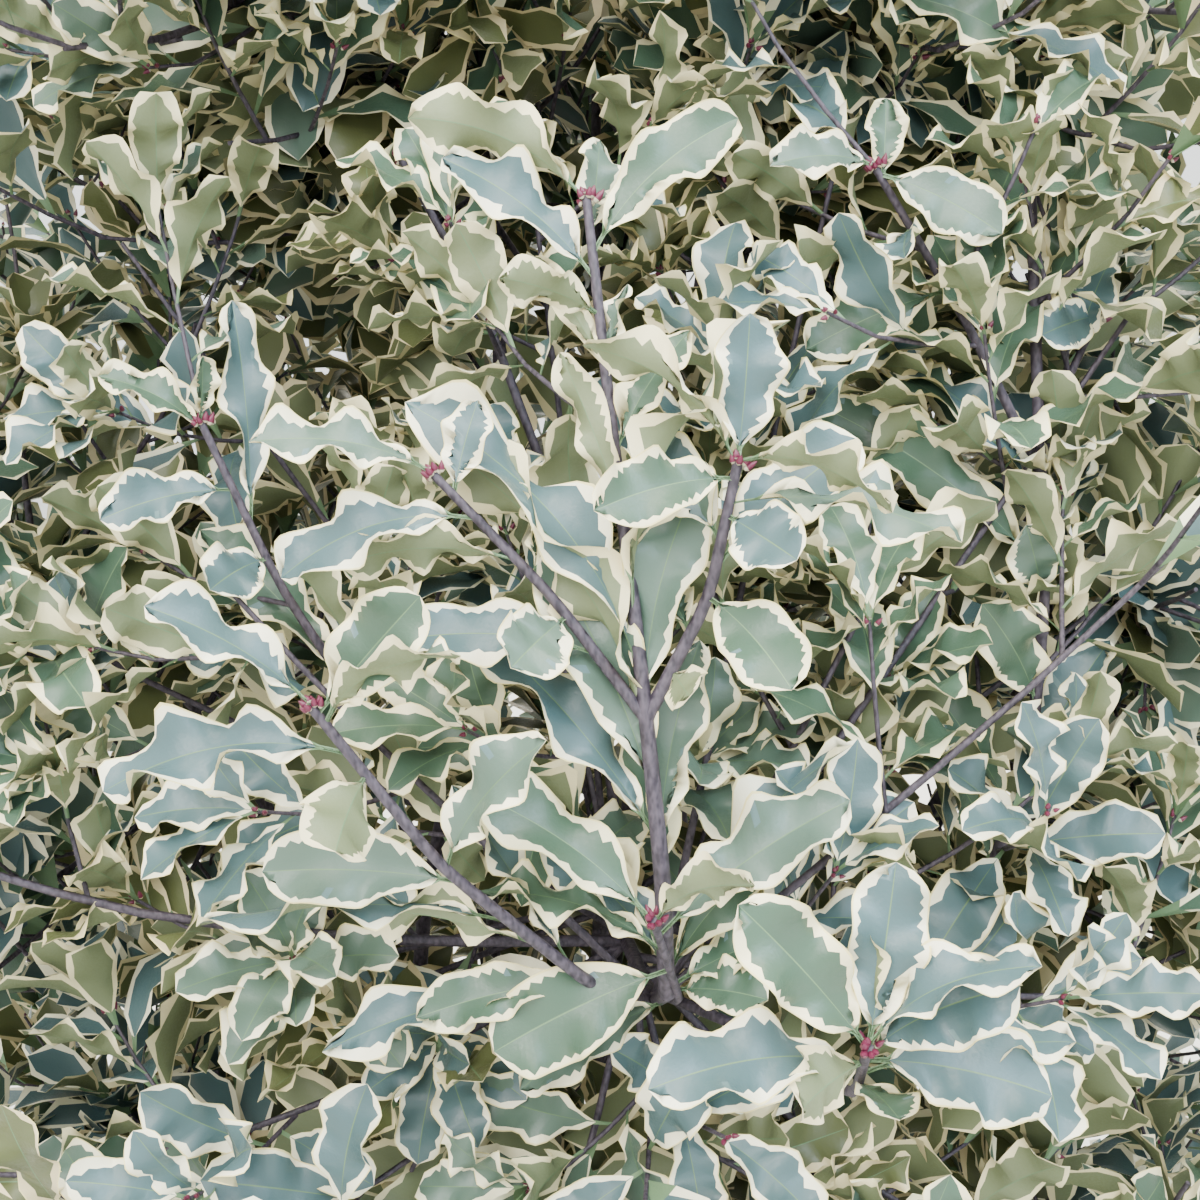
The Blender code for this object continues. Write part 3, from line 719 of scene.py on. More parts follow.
def scatter(name, tree, shapes, places, size=1.0):
    # places: (point, turn, scale, variant, tint)
    mesh = bpy.data.meshes.new(name)
    mesh.vertices.add(len(places))
    mesh.vertices.foreach_set("co", np.array([p[0][:] for p in places], np.float32).ravel())
    for title, kind, key, column in (("turned", "FLOAT_VECTOR", "vector", 1), ("grown", "FLOAT", "value", 2),
                                     ("variant", "INT", "value", 3), ("tint", "INT", "value", 4)):
        values = np.array([tuple(p[column]) if kind == "FLOAT_VECTOR" else p[column] for p in places])
        kindOf = np.int32 if kind == "INT" else np.float32
        mesh.attributes.new(title, kind, "POINT").data.foreach_set(key, values.astype(kindOf).ravel())
    source = addObject(name + "_points", mesh)
    modifier = source.modifiers.new("scatter", "NODES")
    modifier.node_group = tree
    setInput(modifier, tree, "Shapes", shapes)
    setInput(modifier, tree, "Size", size)
    return plainPiece(source, name)


def plainPiece(source, name):
    graph = bpy.context.evaluated_depsgraph_get()
    mesh = bpy.data.meshes.new_from_object(source.evaluated_get(graph))
    for extra in ("variant", "tint", "grown", "turned", "zone", "thick"):
        if extra in mesh.attributes:
            mesh.attributes.remove(mesh.attributes[extra])
    mesh.name = name
    bpy.data.objects.remove(source, do_unlink=True)
    return addObject(name, mesh)


def tubeTree():
    tree = bpy.data.node_groups.new("twigTubes", "GeometryNodeTree")
    entry, leave = addSockets(tree, (("Geometry", "Geometry"), ("Sides", "Int"), ("Bark", "Material")),
                              (("Geometry", "Geometry"),))
    nodes = tree.nodes
    curves = nodes.new("GeometryNodeMeshToCurve")
    ring = nodes.new("GeometryNodeCurvePrimitiveCircle")
    ring.inputs["Radius"].default_value = 1.0
    skin = nodes.new("GeometryNodeCurveToMesh")
    skin.inputs["Fill Caps"].default_value = True
    smooth = nodes.new("GeometryNodeSetShadeSmooth")
    realize = nodes.new("GeometryNodeRealizeInstances")
    paint = nodes.new("GeometryNodeSetMaterial")
    tree.links.new(namedValue(nodes, "thick", "FLOAT"), skin.inputs["Scale"])
    wire(tree, (entry, "Geometry", curves, "Mesh"), (entry, "Sides", ring, "Resolution"),
         (curves, "Curve", skin, "Curve"), (ring, "Curve", skin, "Profile Curve"),
         (skin, "Mesh", smooth, "Geometry"),
         (smooth, "Geometry", realize, "Geometry"), (realize, "Geometry", paint, "Geometry"),
         (entry, "Bark", paint, "Material"), (paint, "Geometry", leave, "Geometry"))
    return tree


def tubes(name, tree, paths, sides, material):
    # paths: (points, radii)
    points, edges, radii = [], [], []
    for path, thick in paths:
        first = len(points)
        points += [tuple(point) for point in path]
        radii += list(thick)
        edges += [(first + n, first + n + 1) for n in range(len(path) - 1)]
    mesh = bpy.data.meshes.new(name)
    mesh.from_pydata(points, edges, [])
    mesh.attributes.new("thick", "FLOAT", "POINT").data.foreach_set("value", np.array(radii, np.float32))
    source = addObject(name + "_lines", mesh)
    modifier = source.modifiers.new("tubes", "NODES")
    modifier.node_group = tree
    setInput(modifier, tree, "Sides", sides)
    setInput(modifier, tree, "Bark", material)
    return plainPiece(source, name)


def finer(path, steps):
    # the same path with more points, rounded at its corners
    count = (len(path) - 1) * steps
    rough = [along(path, n / count)[0] for n in range(count + 1)]
    eased = [rough[0]]
    for before, here, after in zip(rough, rough[1:], rough[2:]):
        eased.append(here * 0.5 + (before + after) * 0.25)
    return eased + [rough[-1]]


# Bark: relief meshes along trunk, boughs and limbs
barkRelief = {"ridge": 0.0016, "ridgeScale": 55.0, "grain": 0.0005, "grainScale": 240.0, "flatten": 0.3,
              "limbFiner": 3, "trunkFiner": 2, "trunkRidge": 0.0030, "trunkGrain": 0.0010}
barkMeshes = {"trunk": {"sides": 72, "rings": 30}, "bough": {"sides": 28, "steps": 9, "relief": 0.8},
              "limb": {"sides": 16, "steps": 8, "relief": 0.35}}


def roughened(spot, out, finer, ridge, grain, relief=1.0):
    # the spot moved outwards by long ridges and fine grain
    flattened = Vector((spot.x, spot.y, spot.z * barkRelief["flatten"]))
    ridgeHere = noise.noise(flattened * barkRelief["ridgeScale"] * finer) * ridge * relief
    grainHere = noise.noise(spot * barkRelief["grainScale"]) * grain * relief
    return tuple(spot + out * (ridgeHere + grainHere))


def ringFaces(rings, sides):
    return [(ring * sides + corner, ring * sides + (corner + 1) % sides,
             (ring + 1) * sides + (corner + 1) % sides, (ring + 1) * sides + corner)
            for ring in range(rings) for corner in range(sides)]


def barkTube(path, radii, sides, steps, relief):
    line = finer(path, steps)
    points = []
    side = across((line[1] - line[0]).normalized())[0]
    for number, centre in enumerate(line):
        way = (line[min(number + 1, len(line) - 1)] - line[max(number - 1, 0)]).normalized()
        side = (side - way * side.dot(way)).normalized()
        up = way.cross(side)
        place = number / (len(line) - 1) * (len(radii) - 1)
        low = min(int(place), len(radii) - 2)
        radius = radii[low] + (radii[low + 1] - radii[low]) * (place - low)
        for corner in range(sides):
            angle = 2 * math.pi * corner / sides
            out = math.cos(angle) * side + math.sin(angle) * up
            points.append(roughened(centre + out * radius, out, barkRelief["limbFiner"], barkRelief["ridge"],
                                    barkRelief["grain"], relief))
    return points, ringFaces(len(line) - 1, sides), sides


def barkPiece(name, tubesList, material):
    points, faces = [], []
    for tube, quads, sides in tubesList:
        first = len(points)
        points += tube
        faces += [tuple(first + corner for corner in quad) for quad in quads]
        faces.append(tuple(range(first + sides - 1, first - 1, -1)))
        faces.append(tuple(range(len(points) - sides, len(points))))
    mesh = bpy.data.meshes.new(name)
    mesh.from_pydata(points, [], faces)
    mesh.materials.append(material)
    mesh.polygons.foreach_set("use_smooth", np.ones(len(faces), bool))
    mesh.update()
    return addObject(name, mesh)


def trunkSkin():
    # the flared foot, with its lobes, up to the fork
    sides, rings = barkMeshes["trunk"]["sides"], barkMeshes["trunk"]["rings"]
    points = []
    profile = limbSizes["trunkProfile"]
    for ring in range(rings + 1):
        share = ring / rings
        low = max(n for n in range(len(profile) - 1) if profile[n][0] <= share)
        ease = (share - profile[low][0]) / (profile[low + 1][0] - profile[low][0])
        radius = profile[low][1] + (profile[low + 1][1] - profile[low][1]) * ease
        lobe = profile[low][2] + (profile[low + 1][2] - profile[low][2]) * ease
        centre = limbSizes["trunkLean"] * share + Vector((0.0, 0.0, limbSizes["trunkHeight"] * share))
        for corner in range(sides):
            angle = 2 * math.pi * corner / sides
            wide = radius * (1 + lobe * math.cos(limbSizes["trunkLobes"] * angle))
            out = Vector((math.cos(angle), math.sin(angle), 0.0))
            points.append(roughened(centre + out * wide, out, barkRelief["trunkFiner"],
                                    barkRelief["trunkRidge"], barkRelief["trunkGrain"]))
    return points, ringFaces(rings, sides), sides


barkTubes = [trunkSkin()]
for path in boughs:
    barkTubes.append(barkTube(path, boughRadii(len(path)), **barkMeshes["bough"]))
trunkPiece = barkPiece("trunk_and_boughs_bark", barkTubes, barkOld)
intoFrame(trunkPiece, ["trunk"] + [f"bough_{n + 1}" for n in range(crown["sectors"])])
limbTubes = [barkTube(path, radii, **barkMeshes["limb"]) for path, radii in limbs.values()]
limbPiece = barkPiece("limbs_bark", limbTubes, barkYoung)
intoFrame(limbPiece, [f"limb_{name}" for name in limbs])
print("bark made")


# Sprays: shoots along every twig, with real-sized leaves up each shoot and a whorl at its tip
sprayRule = {
    "leafShares": (0.42, 0.58, 0.73, 0.87, 0.985), "places": 5, "golden": 137.5, "spread": 58.0,
    "endSpread": 58.0 / 3, "shootLength": (0.070, 0.092), "shootReach": 0.95, "shootRise": 0.14,
    "shootLift": 0.55, "shootSteps": 3, "shootGap": 0.01, "shootRadii": (0.0012, 0.0008),
    "gap": 0.003, "limbGap": 0.004,
    "leaves": (0.16, 0.30, 0.43, 0.55, 0.67, 0.78, 0.88, 0.94, 0.97, 0.99, 1.0, 1.0),
    "leafLength": (0.056, 0.072), "leafShorter": 0.22, "wideness": 0.44, "leafSpread": (72, 34, 12),
    "upperPulls": (0.7, 0.6, 0.25), "arches": (0.06, 0.2), "droops": (0.0, 0.15), "measuredAt": 0.6,
}
# more twigs than the solids have, inside the same reach: how many a mass gets, and where their tips stand
innerRule = {"twigs": 11, "viewTwigs": 20, "frontTwigs": 30, "reach": (0.36, 0.88), "clear": 0.012,
             "tries": 160, "ahead": 0.06, "radii": (0.0020, 0.0011),
             "viewMasses": ("mid_2", "mid_5", "top_1", "top_5", "low_1", "low_5")}
# deep: sprays inside this share of the crown get the olive tint, as painted shade
tintRule = {"deep": 0.62, "blur": 0.14, "outside": (0.36, 0.36, 0.16, 0.12), "front": (0.50, 0.30, 0.20)}
variants = {"count": 10, "length": 0.055, "width": 0.0245, "widths": (0.9, 1.12), "wave": 0.55,
            "arches": (0.02, 0.16), "droops": (0.02, 0.30), "middleDroop": 0.35, "endDroop": 0.6,
            "reach": 0.97}


def leafTurn(way, upper):
    side = way.cross(upper).normalized()
    top = side.cross(way).normalized()
    return Matrix((side, way, top)).transposed().to_euler("XYZ")


def variantShapes(name, detail):
    shapes = bpy.data.collections.new(name)
    for number in range(variants["count"]):
        rng = random.Random(f"{name} {number}")
        length = variants["length"]
        arch = rng.uniform(*variants["arches"]) * length
        droop = rng.uniform(*variants["droops"]) * length
        bend = ((0, 0, 0), (0, 0.5 * length, arch + variants["middleDroop"] * droop),
                (0, variants["reach"] * length, -droop * variants["endDroop"]))
        width = variants["width"] * rng.uniform(*variants["widths"])
        points, normal, size, columns = leafGrid(bend, (0, 0, 1), width, detail, rng, variants["wave"])
        points, quads, zoneList = leafFaces(points, normal, size, columns, rng, detail)
        mesh = arrayMesh(f"{name}_{number:02d}", points, quads, np.zeros(len(quads)), [])
        mesh.attributes.new("zone", "INT", "FACE").data.foreach_set("value", zoneList.astype(np.int32))
        shapes.objects.link(bpy.data.objects.new(mesh.name, mesh))
    return shapes


def dropShapes(shapes):
    for item in list(shapes.objects):
        bpy.data.objects.remove(item, do_unlink=True)
    bpy.data.collections.remove(shapes)


def innerTwigs(name, stem, taken):
    # finer twigs that fill the mass between those of the solids
    rng = random.Random(f"{crown['seed']} {name} inner")
    count = innerRule["viewTwigs"] if name in innerRule["viewMasses"] else innerRule["twigs"]
    count = innerRule["frontTwigs"] if name == crown["frontMass"] else count
    tips, twigs = list(taken), []
    for _ in range(count):
        best = furthestTip(rng, name, tips, solidLimbs, innerRule["reach"], innerRule["tries"], 0.0,
                           innerRule["clear"])
        if best is None:
            continue
        path = twigPath(stem, best)
        nearest = cameraSetup["focus"] + innerRule["ahead"]
        seen = [inView(point) for point in path[1:]]
        if any(max(abs(x), abs(y)) < 1.0 and depth < nearest for x, y, depth in seen):
            continue
        tips.append(best)
        twigs.append((path, *innerRule["radii"]))
    return twigs


def shootsOf(name, twigs, rng):
    # the finer shoots of one mass, up to five along each of its twigs
    shoots = []
    for path, footRadius, tipRadius in twigs:
        turn = rng.uniform(0.0, 360.0)
        for share in sprayRule["leafShares"]:
            root, way = along(path, share)
            side, up = across(way)
            turn += sprayRule["golden"]
            atEnd = share == sprayRule["leafShares"][-1]
            spread = math.radians(sprayRule["endSpread" if atEnd else "spread"])
            for attempt in range(sprayRule["places"]):
                angle = math.radians(turn + attempt * 360 / sprayRule["places"])
                outward = math.cos(angle) * side + math.sin(angle) * up
                shootWay = (math.cos(spread) * way + math.sin(spread) * outward).normalized()
                length = rng.uniform(*sprayRule["shootLength"])
                rise = Vector((0, 0, sprayRule["shootRise"] * length))
                tip = root + shootWay * length * sprayRule["shootReach"] + rise
                if not inSpace(name, tip, sprayRule["gap"]):
                    continue
                if not clearOfLimbs(tip, solidLimbs, sprayRule["shootGap"]):
                    continue
                tipWay = (shootWay + Vector((0, 0, sprayRule["shootLift"]))).normalized()
                shoots.append(bow(root, shootWay, tip, tipWay, sprayRule["shootSteps"]))
                break
    return shoots


def sprayLeaves(shoot, rng):
    # (root, way, upper, length) of each leaf up a shoot
    leaves = []
    widest, narrower, uneven = sprayRule["leafSpread"]
    shootPull, skyPull, sidePull = sprayRule["upperPulls"]
    turn = rng.uniform(0.0, 360.0)
    for share in sprayRule["leaves"]:
        root, way = along(shoot, share)
        side, up = across(way)
        turn += sprayRule["golden"]
        angle = math.radians(turn)
        outward = math.cos(angle) * side + math.sin(angle) * up
        spread = math.radians(widest - narrower * share + rng.uniform(-uneven, uneven))
        leafWay = (math.cos(spread) * way + math.sin(spread) * outward).normalized()
        upper = (way - leafWay * way.dot(leafWay)).normalized()
        skyward = Vector((0, 0, 1)) - leafWay * leafWay.z
        lean = side * rng.uniform(-sidePull, sidePull)
        upper = (upper * shootPull + skyward * skyPull + lean).normalized()
        length = rng.uniform(*sprayRule["leafLength"]) * (1.0 - sprayRule["leafShorter"] * share)
        leaves.append((root, leafWay, upper, length))
    return leaves


def tintOf(point, rng):
    # painted shade: sprays deep inside the crown get the darker olive tint, and outside a mix of the four
    # tints
    if fill(point) + rng.uniform(-tintRule["blur"], tintRule["blur"]) < tintRule["deep"]:
        return tintNames.index("olive")
    return rng.choices(range(len(tintNames)), tintRule["outside"])[0]


# Leaves of the front shoots, placed one by one after the photograph, with fillers between them. The columns
# are the share of the shoot, the tip across and down the frame in pixels, length and width in millimetres,
# the arch and the face in degrees: 0 shows the upper side, 180 the underside, 60 to 120 a leaf seen along its
# edge. A minus length leans away.
frontColumns = ("share", "tipX", "tipY", "length", "width", "arch", "face")
frontLeaves = {
    "centre": (
        (0.99, 408, 118, 64, 25, 0.26, 150), (0.93, 738, 118, 64, 25, 0.2, 25),
        (0.9, 442, 158, 52, 25, 0.16, 40), (0.86, 499, 277, 46, 19, 0.12, 150),
        (0.8, 534, 256, 28, 12, 0.05, 170), (0.77, 628, 284, 26, 12, 0.15, 60),
        (0.5, 790, 320, 76, 20, 0.34, 115), (0.62, 560, 352, 26, 15, 0.05, 165),
        (0.44, 405, 402, 74, 27, 0.24, 38), (0.34, 442, 442, 56, 22, 0.24, 125),
        (0.3, 545, 550, 62, 30, 0.08, 12), (0.4, 706, 462, 58, 27, 0.14, 20),
        (0.7, 690, 330, -44, 20, 0.12, 35), (0.04, 540, 842, 56, 27, 0.18, 40),
        (0.03, 797, 834, 60, 27, 0.14, 22), (0.02, 852, 745, 66, 21, 0.22, 58),
        (0.05, 458, 714, 70, 19, 0.18, 62), (0.15, 600, 640, -40, 22, 0.1, 30),
        (0.95, 600, 140, -40, 18, 0.0, 30), (0.25, 470, 620, -60, 26, 0.1, 30),
        (0.22, 700, 640, -44, 22, 0.1, 20),
    ),
    "rightFork": (
        (0.98, 750, 313, 54, 25, 0.02, 20), (0.93, 594, 511, 56, 25, 0.12, 22),
        (0.97, 583, 345, 68, 19, 0.3, 120), (0.99, 893, 512, 64, 20, 0.28, 125),
        (0.84, 962, 542, 84, 25, 0.2, 62), (0.8, 797, 560, 50, 27, 0.02, 12),
        (0.5, 792, 690, 58, 29, 0.1, 15), (0.2, 690, 697, 27, 19, 0.02, 165),
        (0.6, 860, 440, -62, 30, 0.1, 20), (0.7, 640, 440, -50, 26, 0.1, 25),
        (0.35, 640, 560, -40, 20, 0.1, 25),
    ),
    "leftFork": (
        (0.99, 249, 442, 68, 22, 0.2, 42), (0.8, 281, 578, 70, 25, 0.26, 38),
        (0.62, 334, 566, 60, 23, 0.2, 128), (0.4, 511, 668, 46, 28, 0.04, 10),
        (0.55, 520, 482, 24, 9, 0.1, 60), (0.9, 478, 400, -30, 18, 0.05, 20),
        (0.25, 400, 640, -60, 25, 0.15, 35),
    ),
    "lowLeft": (
        (1.0, 144, 606, 68, 24, 0.14, 48), (0.98, 420, 596, 58, 29, 0.02, 18),
        (0.96, 461, 655, 62, 20, 0.28, 125), (0.9, 103, 792, 80, 27, 0.24, 36),
        (0.86, 335, 852, 56, 30, 0.06, 160), (0.62, 262, 872, 52, 29, 0.08, 14),
        (0.66, 546, 740, 66, 25, 0.16, 34), (0.5, 196, 926, 68, 24, 0.14, 56),
        (0.35, 452, 785, 40, 15, 0.02, 60), (0.3, 416, 1018, 50, 23, 0.08, 18),
        (0.26, 322, 1052, 62, 23, 0.14, 36), (0.42, 330, 905, 50, 22, 0.1, 120),
    ),
    "lowCentre": (
        (0.97, 468, 790, 72, 28, 0.14, 26), (0.8, 474, 892, 52, 21, 0.22, 48),
        (0.7, 494, 1052, 64, 37, 0.06, 4), (0.97, 755, 885, 44, 21, 0.3, 130),
        (0.55, 768, 1000, 44, 23, 0.1, 28), (0.9, 850, 800, -70, 30, 0.1, 24),
        (0.4, 520, 1090, -56, 26, 0.1, 30), (0.6, 800, 930, -50, 24, 0.1, 30),
    ),
    "lowRight": (
        (0.99, 738, 905, 64, 29, 0.05, 6), (0.99, 896, 862, 60, 27, 0.02, 10),
        (0.99, 1042, 966, 66, 23, 0.26, 48), (0.96, 1020, 986, 58, 30, 0.14, 16),
        (0.93, 1052, 1096, 62, 34, 0.1, 20), (0.9, 648, 1090, 78, 29, 0.16, 26),
        (0.92, 802, 1108, 40, 26, 0.08, 150), (0.85, 1076, 1042, -54, 24, 0.1, 40),
        (0.97, 860, 905, -40, 15, 0.1, 120), (0.8, 900, 1120, 40, 24, 0.1, 60),
    ),
    "right": (
        (0.66, 812, 402, 84, 30, 0.12, 22), (0.7, 860, 345, 66, 22, 0.26, 50),
        (0.64, 1026, 525, 46, 25, 0.02, 10), (0.5, 1046, 752, 62, 38, 0.02, 6),
        (0.55, 982, 604, 66, 30, 0.1, 20), (0.45, 905, 660, 56, 27, 0.1, 22),
        (0.4, 950, 770, 56, 24, 0.15, 45), (0.58, 1090, 455, 40, 20, 0.1, 60),
        (0.85, 1110, 190, 40, 22, 0.1, 40), (0.95, 1050, 120, 34, 18, 0.1, 30),
        (0.48, 1110, 640, 50, 26, 0.05, 15),
    ),
    "rightInner": (
        (0.97, 1002, 234, 56, 26, 0.1, 20), (0.99, 770, 166, 46, 21, 0.2, 32),
        (0.95, 886, 98, 30, 17, 0.02, 15), (0.8, 905, 258, 40, 20, 0.12, 40),
        (0.6, 806, 350, 60, 27, 0.08, 25),
    ),
    "rightOuter": (
        (0.98, 1042, 335, 42, 25, 0.05, 8), (0.7, 1110, 260, 40, 22, 0.1, 30),
    ),
    "farLeft": (
        (0.98, 98, 376, 52, 20, 0.2, 42), (1.0, 203, 356, 30, 13, 0.02, 30),
        (0.9, 100, 520, 62, 24, 0.14, 35), (0.8, 210, 590, 60, 27, 0.1, 20),
        (0.85, 232, 300, 46, 20, 0.05, 30), (0.6, 200, 530, 56, 26, 0.1, 25),
        (0.5, 160, 640, 52, 22, 0.15, 60),
    ),
}


frontBend = {"towards": 0.55, "away": 0.7, "level": 0.15, "middle": 0.45, "above": 0.9, "facing": 0.4}
lineSteps = {"stem": 4, "twig": 3, "inner": 2, "frontLeaf": 4, "front": 6}


def frontLeafBend(path, share, x, y, length, arch, face):
    forward, upward = cameraWays()
    base, way = along(path, share)
    depth = (base - cameraSetup["place"]).dot(forward)
    flat = atPixel(x, y, depth)
    chord = (flat - base).length
    lean = math.sqrt(max(abs(length)**2 - chord**2, 0.0)) * (-1 if length > 0 else 1)
    lean = max(-frontBend["towards"] * abs(length), min(frontBend["away"] * abs(length), lean))
    tip = atPixel(x, y, depth + lean)
    axis = (tip - base).normalized()
    facing = (cameraSetup["place"] - (base + tip) / 2).normalized()
    facing = (facing - axis * facing.dot(axis)).normalized()
    above = axis.cross(facing).normalized()
    if above.z < -frontBend["level"] or (abs(above.z) <= frontBend["level"] and above.x < 0):
        above = -above
    upper = math.cos(math.radians(face)) * facing + math.sin(math.radians(face)) * above
    lift = above * frontBend["above"] + facing * frontBend["facing"]
    middle = base.lerp(tip, frontBend["middle"]) + lift * arch * (tip - base).length
    return (base, middle, tip), upper


fineLeaves = []       # bend, upper side, width, tint
shootsFront = masses[crown["frontMass"]][2]
for shootName, rows in frontLeaves.items():
    path = finer(shootsFront[shootName][0], lineSteps["frontLeaf"])
    for values in rows:
        row = dict(zip(frontColumns, values))
        bend, upper = frontLeafBend(path, row["share"], row["tipX"], row["tipY"], row["length"] / 1000,
                                    row["arch"], row["face"])
        rng = random.Random(f"{shootName} {row['tipX']} {row['tipY']}")
        tint = rng.choices(range(len(tintRule["front"])), tintRule["front"])[0]
        fineLeaves.append((bend, upper, row["width"] / 1000, tint))
shownLeaves = len(fineLeaves)

# distances beyond the plane of the front shoots, and how far the frame reaches
nearLimit = {"clearFront": 0.035, "clearShoot": 0.01, "fine": 0.12, "mid": 0.25, "frame": 1.04}
budRule = {"size": 0.0024, "frontSize": 0.0030, "near": 4, "far": 1, "front": 9, "ring": 0.35, "outward": 0.9,
           "back": 0.5, "sizes": (0.8, 1.15), "shapeSize": 0.0025, "uneven": 20, "shapes": 3}
midPlaces = {name: [] for name in masses}
farPlaces = {name: [] for name in masses}
twigLines = {tier: [] for tier in tiers}
budPlaces = []


def addBuds(tip, way, rng, count, size):
    side, up = across(way)
    for number in range(count):
        uneven = rng.uniform(-budRule["uneven"], budRule["uneven"])
        angle = math.radians(sprayRule["golden"] * number + uneven)
        out = math.cos(angle) * side + math.sin(angle) * up
        layer = number % budRule["shapes"]
        ring = budRule["ring"] + (1 - budRule["ring"]) * layer / 2
        place = tip + out * size * budRule["outward"] * ring - way * size * budRule["back"] * layer
        budWay = (way + out * ring).normalized()
        turned = leafTurn(budWay, across(budWay)[0])
        scale = rng.uniform(*budRule["sizes"]) * size / budRule["shapeSize"]
        budPlaces.append((place, turned, scale, layer, 0))


def placeLeaf(name, leaf, tint, rng):
    root, way, upper, length = leaf
    tip = root + way * length
    if min(tip.z, root.z) < crown["leafFloor"] or not inSpace(name, tip, 0.0):
        return
    if not clearOfLimbs(tip, solidLimbs, sprayRule["limbGap"]):
        return
    sideways, upwards, depth = inView(root.lerp(tip, sprayRule["measuredAt"]))
    seen = max(abs(sideways), abs(upwards)) < nearLimit["frame"]
    away = min(depth, inView(tip)[2]) - cameraSetup["focus"]
    if seen and away < nearLimit["clearFront"]:
        return
    if seen and away < nearLimit["fine"]:
        bend = (root, root + way * length * 0.5 + upper * length * rng.uniform(*sprayRule["arches"]),
                tip - upper * length * rng.uniform(*sprayRule["droops"]))
        fineLeaves.append((bend, upper, length * sprayRule["wideness"], tint))
        return
    group = midPlaces if seen and away < nearLimit["mid"] else farPlaces
    group[name].append((root, leafTurn(way, upper), length / variants["length"],
                        rng.randrange(variants["count"]), tint))


def addLine(lines, path, steps, footRadius, tipRadius):
    line = finer(path, steps)
    lines.append((line, tapers(footRadius, tipRadius, len(line))))


for name, (stem, twigs, shoots) in masses.items():
    rng = random.Random(f"{crown['seed']} {name} sprays")
    tier = name[:3]
    addLine(twigLines[tier], stem, lineSteps["stem"], tiers[tier]["limbTip"], twigSizes["stemTip"])
    inner = innerTwigs(name, stem, [path[-1] for path, footRadius, tipRadius in twigs])
    for kind, several in (("twig", twigs), ("inner", inner)):
        for path, footRadius, tipRadius in several:
            addLine(twigLines[tier], path, lineSteps[kind], footRadius, tipRadius)
    carrying = twigs + inner + list(shoots.values())
    for shoot in shootsOf(name, carrying, rng):
        tint = tintOf(shoot[-1], rng)
        sideways, upwards, depth = inView(shoot[-1])
        beyond = depth - cameraSetup["focus"]
        offCentre = max(abs(sideways), abs(upwards))
        if beyond < nearLimit["clearFront"] + nearLimit["clearShoot"] and offCentre < nearLimit["frame"]:
            continue
        twigLines[tier].append((shoot, tapers(*sprayRule["shootRadii"], len(shoot))))
        for leaf in sprayLeaves(shoot, rng):
            placeLeaf(name, leaf, tint, rng)
        near = beyond < nearLimit["mid"] and offCentre < 1.0
        addBuds(shoot[-1], endWay(shoot), rng, budRule["near" if near else "far"], budRule["size"])

frontLines = []
rng = random.Random("front buds")
for path, footRadius, tipRadius in shootsFront.values():
    addLine(frontLines, path, lineSteps["front"], footRadius, tipRadius)
    addBuds(path[-1], endWay(path), rng, budRule["front"], budRule["frontSize"])
print("leaves placed:", shownLeaves, "on the front shoots,", len(fineLeaves) - shownLeaves, "near,",
      sum(map(len, midPlaces.values())), "middle,", sum(map(len, farPlaces.values())), "far")

# Twigs
tubeSides = {"twigs": 6, "front": 14}
tubesTree = tubeTree()
for tier, lines in twigLines.items():
    piece = tubes(f"twigs_{tier}", tubesTree, lines, tubeSides["twigs"], barkYoung)
    intoFrame(piece, [f"foliage_{name}" for name in masses if name.startswith(tier)])
piece = tubes("twigs_front", tubesTree, frontLines, tubeSides["front"], barkYoung)
intoFrame(piece, [f"foliage_{crown['frontMass']}"])
print("twigs made")

# Leaves of each mass
leafTree = scatterTree("leafScatter", leafPalette)
midShapes, farShapes = variantShapes("midLeaf", midLeaf), variantShapes("farLeaf", farLeaf)
for name in masses:
    for title, shapes, places in (("leaves_view", midShapes, midPlaces), ("leaves", farShapes, farPlaces)):
        if places[name]:
            piece = scatter(f"{title}_{name}", leafTree, shapes, places[name])
            intoFrame(piece, [f"foliage_{name}"])
dropShapes(midShapes)
dropShapes(farShapes)
print("leaves of the masses made")


# Leaves near the front, each with its own shape, joined in pieces
def frontLeafPieces(leaves, most=160):
    for first in range(0, len(leaves), most):
        points, quads, slots, start = [], [], [], 0
        for number, (bend, upper, width, tint) in enumerate(leaves[first:first + most]):
            rng = random.Random(f"front leaf {first + number}")
            detail = fineLeaf if first + number < shownLeaves else nearLeaf
            grid = leafGrid(bend, upper, width, detail, rng)
            leafPoints, leafQuads, zoneList = leafFaces(*grid, rng, detail)
            points.append(leafPoints)
            quads.append(leafQuads + start)
            slots.append(zoneSlots(zoneList, tint))
            start += len(leafPoints)
        mesh = arrayMesh("leaves_front", np.concatenate(points), np.concatenate(quads), np.concatenate(slots),
                         [material for zone, tint, material in leafPalette])
        piece = addObject(f"leaves_front_{first // most + 1}", mesh)
        intoFrame(piece, [f"foliage_{crown['frontMass']}"])


frontLeafPieces(fineLeaves)
print("front leaves made")


# Buds
budShape = {"profile": ((0.0, 0.45), (0.35, 0.95), (0.9, 0.75), (1.5, 0.12)), "sides": 6, "radius": 0.00125,
            "long": 1.5, "longer": 0.25}


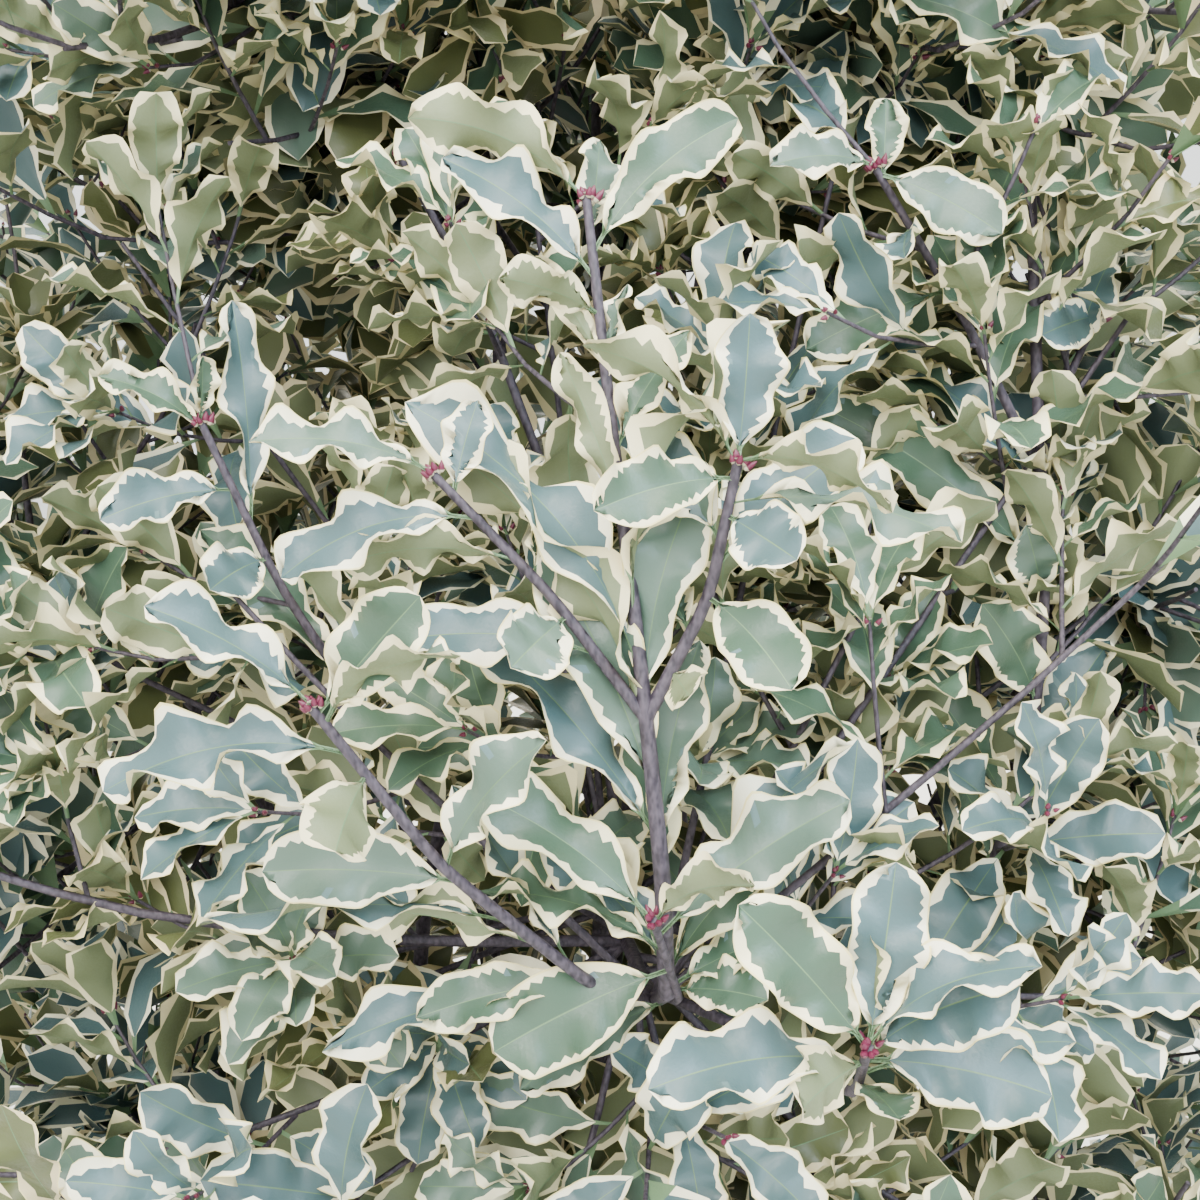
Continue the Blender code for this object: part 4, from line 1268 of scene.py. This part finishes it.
def budShapes():
    # a pointed bud: pale foot, crimson point
    shapes = bpy.data.collections.new("buds")
    profile, sides, radius = budShape["profile"], budShape["sides"], budShape["radius"]
    for number in range(budRule["shapes"]):
        stretch = 1.0 + budShape["longer"] * number
        points = [(radius * wide * math.cos(2 * math.pi * c / sides),
                   radius * budShape["long"] * rise * stretch,
                   radius * wide * math.sin(2 * math.pi * c / sides))
                  for rise, wide in profile for c in range(sides)]
        quads = [(a, d, c, b) for a, b, c, d in ringFaces(len(profile) - 1, sides)]
        mesh = arrayMesh(f"bud_{number}", points, quads, np.zeros(len(quads)), [])
        zoneList = [1 if n < sides else 0 for n in range(len(quads))]
        mesh.attributes.new("zone", "INT", "FACE").data.foreach_set("value", np.array(zoneList, np.int32))
        shapes.objects.link(bpy.data.objects.new(mesh.name, mesh))
    return shapes


budTree = scatterTree("budScatter", budPalette)
buds = budShapes()
piece = scatter("buds", budTree, buds, budPlaces)
intoFrame(piece, [])
dropShapes(buds)
print("buds made:", len(budPlaces))


# Floor, lights and surroundings
surroundings = {"colour": (0.83, 0.86, 0.85), "strength": 2.35}
lights = {
    "key": {"place": (-0.9, -2.4, 2.6), "size": 2.2, "power": 150.0, "colour": (1.0, 0.98, 0.94)},
    "fill": {"place": (1.2, -1.6, 2.4), "size": 1.6, "power": 80.0, "colour": (0.62, 0.80, 1.0)},
    "above": {"place": (0.1, -0.7, 3.1), "size": 1.8, "power": 95.0, "colour": (1.0, 0.93, 0.78)},
    "back": {"place": (0.6, 2.2, 2.4), "size": 2.0, "power": 200.0, "colour": (1.0, 0.93, 0.78)},
}
lightAim = Vector((0, 0, 0.7))
floorSetup = {"half": 6, "colour": (0.72, 0.71, 0.68), "roughness": 0.8}


def addLight(name, place, size, power, colour):
    data = bpy.data.lights.new(name, "AREA")
    data.size = size
    data.energy = power
    data.color = colour
    item = bpy.data.objects.new(name, data)
    item.location = place
    item.rotation_euler = (lightAim - Vector(place)).to_track_quat("-Z", "Y").to_euler()
    bpy.context.scene.collection.objects.link(item)


def makeStudio():
    world = bpy.data.worlds.new("studio")
    world.use_nodes = True
    backdrop = world.node_tree.nodes["Background"]
    backdrop.inputs["Color"].default_value = (*surroundings["colour"], 1.0)
    backdrop.inputs["Strength"].default_value = surroundings["strength"]
    bpy.context.scene.world = world
    for name, light in lights.items():
        addLight(name, **light)
    mesh = bpy.data.meshes.new("floor")
    half = floorSetup["half"]
    corners = [(-half, -half, 0), (half, -half, 0), (half, half, 0), (-half, half, 0)]
    mesh.from_pydata(corners, [], [(0, 1, 2, 3)])
    floor = addObject("floor", mesh)
    pale = bpy.data.materials.new("floor_pale")
    pale.use_nodes = True
    shader = pale.node_tree.nodes["Principled BSDF"]
    shader.inputs["Base Color"].default_value = (*floorSetup["colour"], 1.0)
    shader.inputs["Roughness"].default_value = floorSetup["roughness"]
    mesh.materials.append(pale)


makeStudio()
print("studio made")
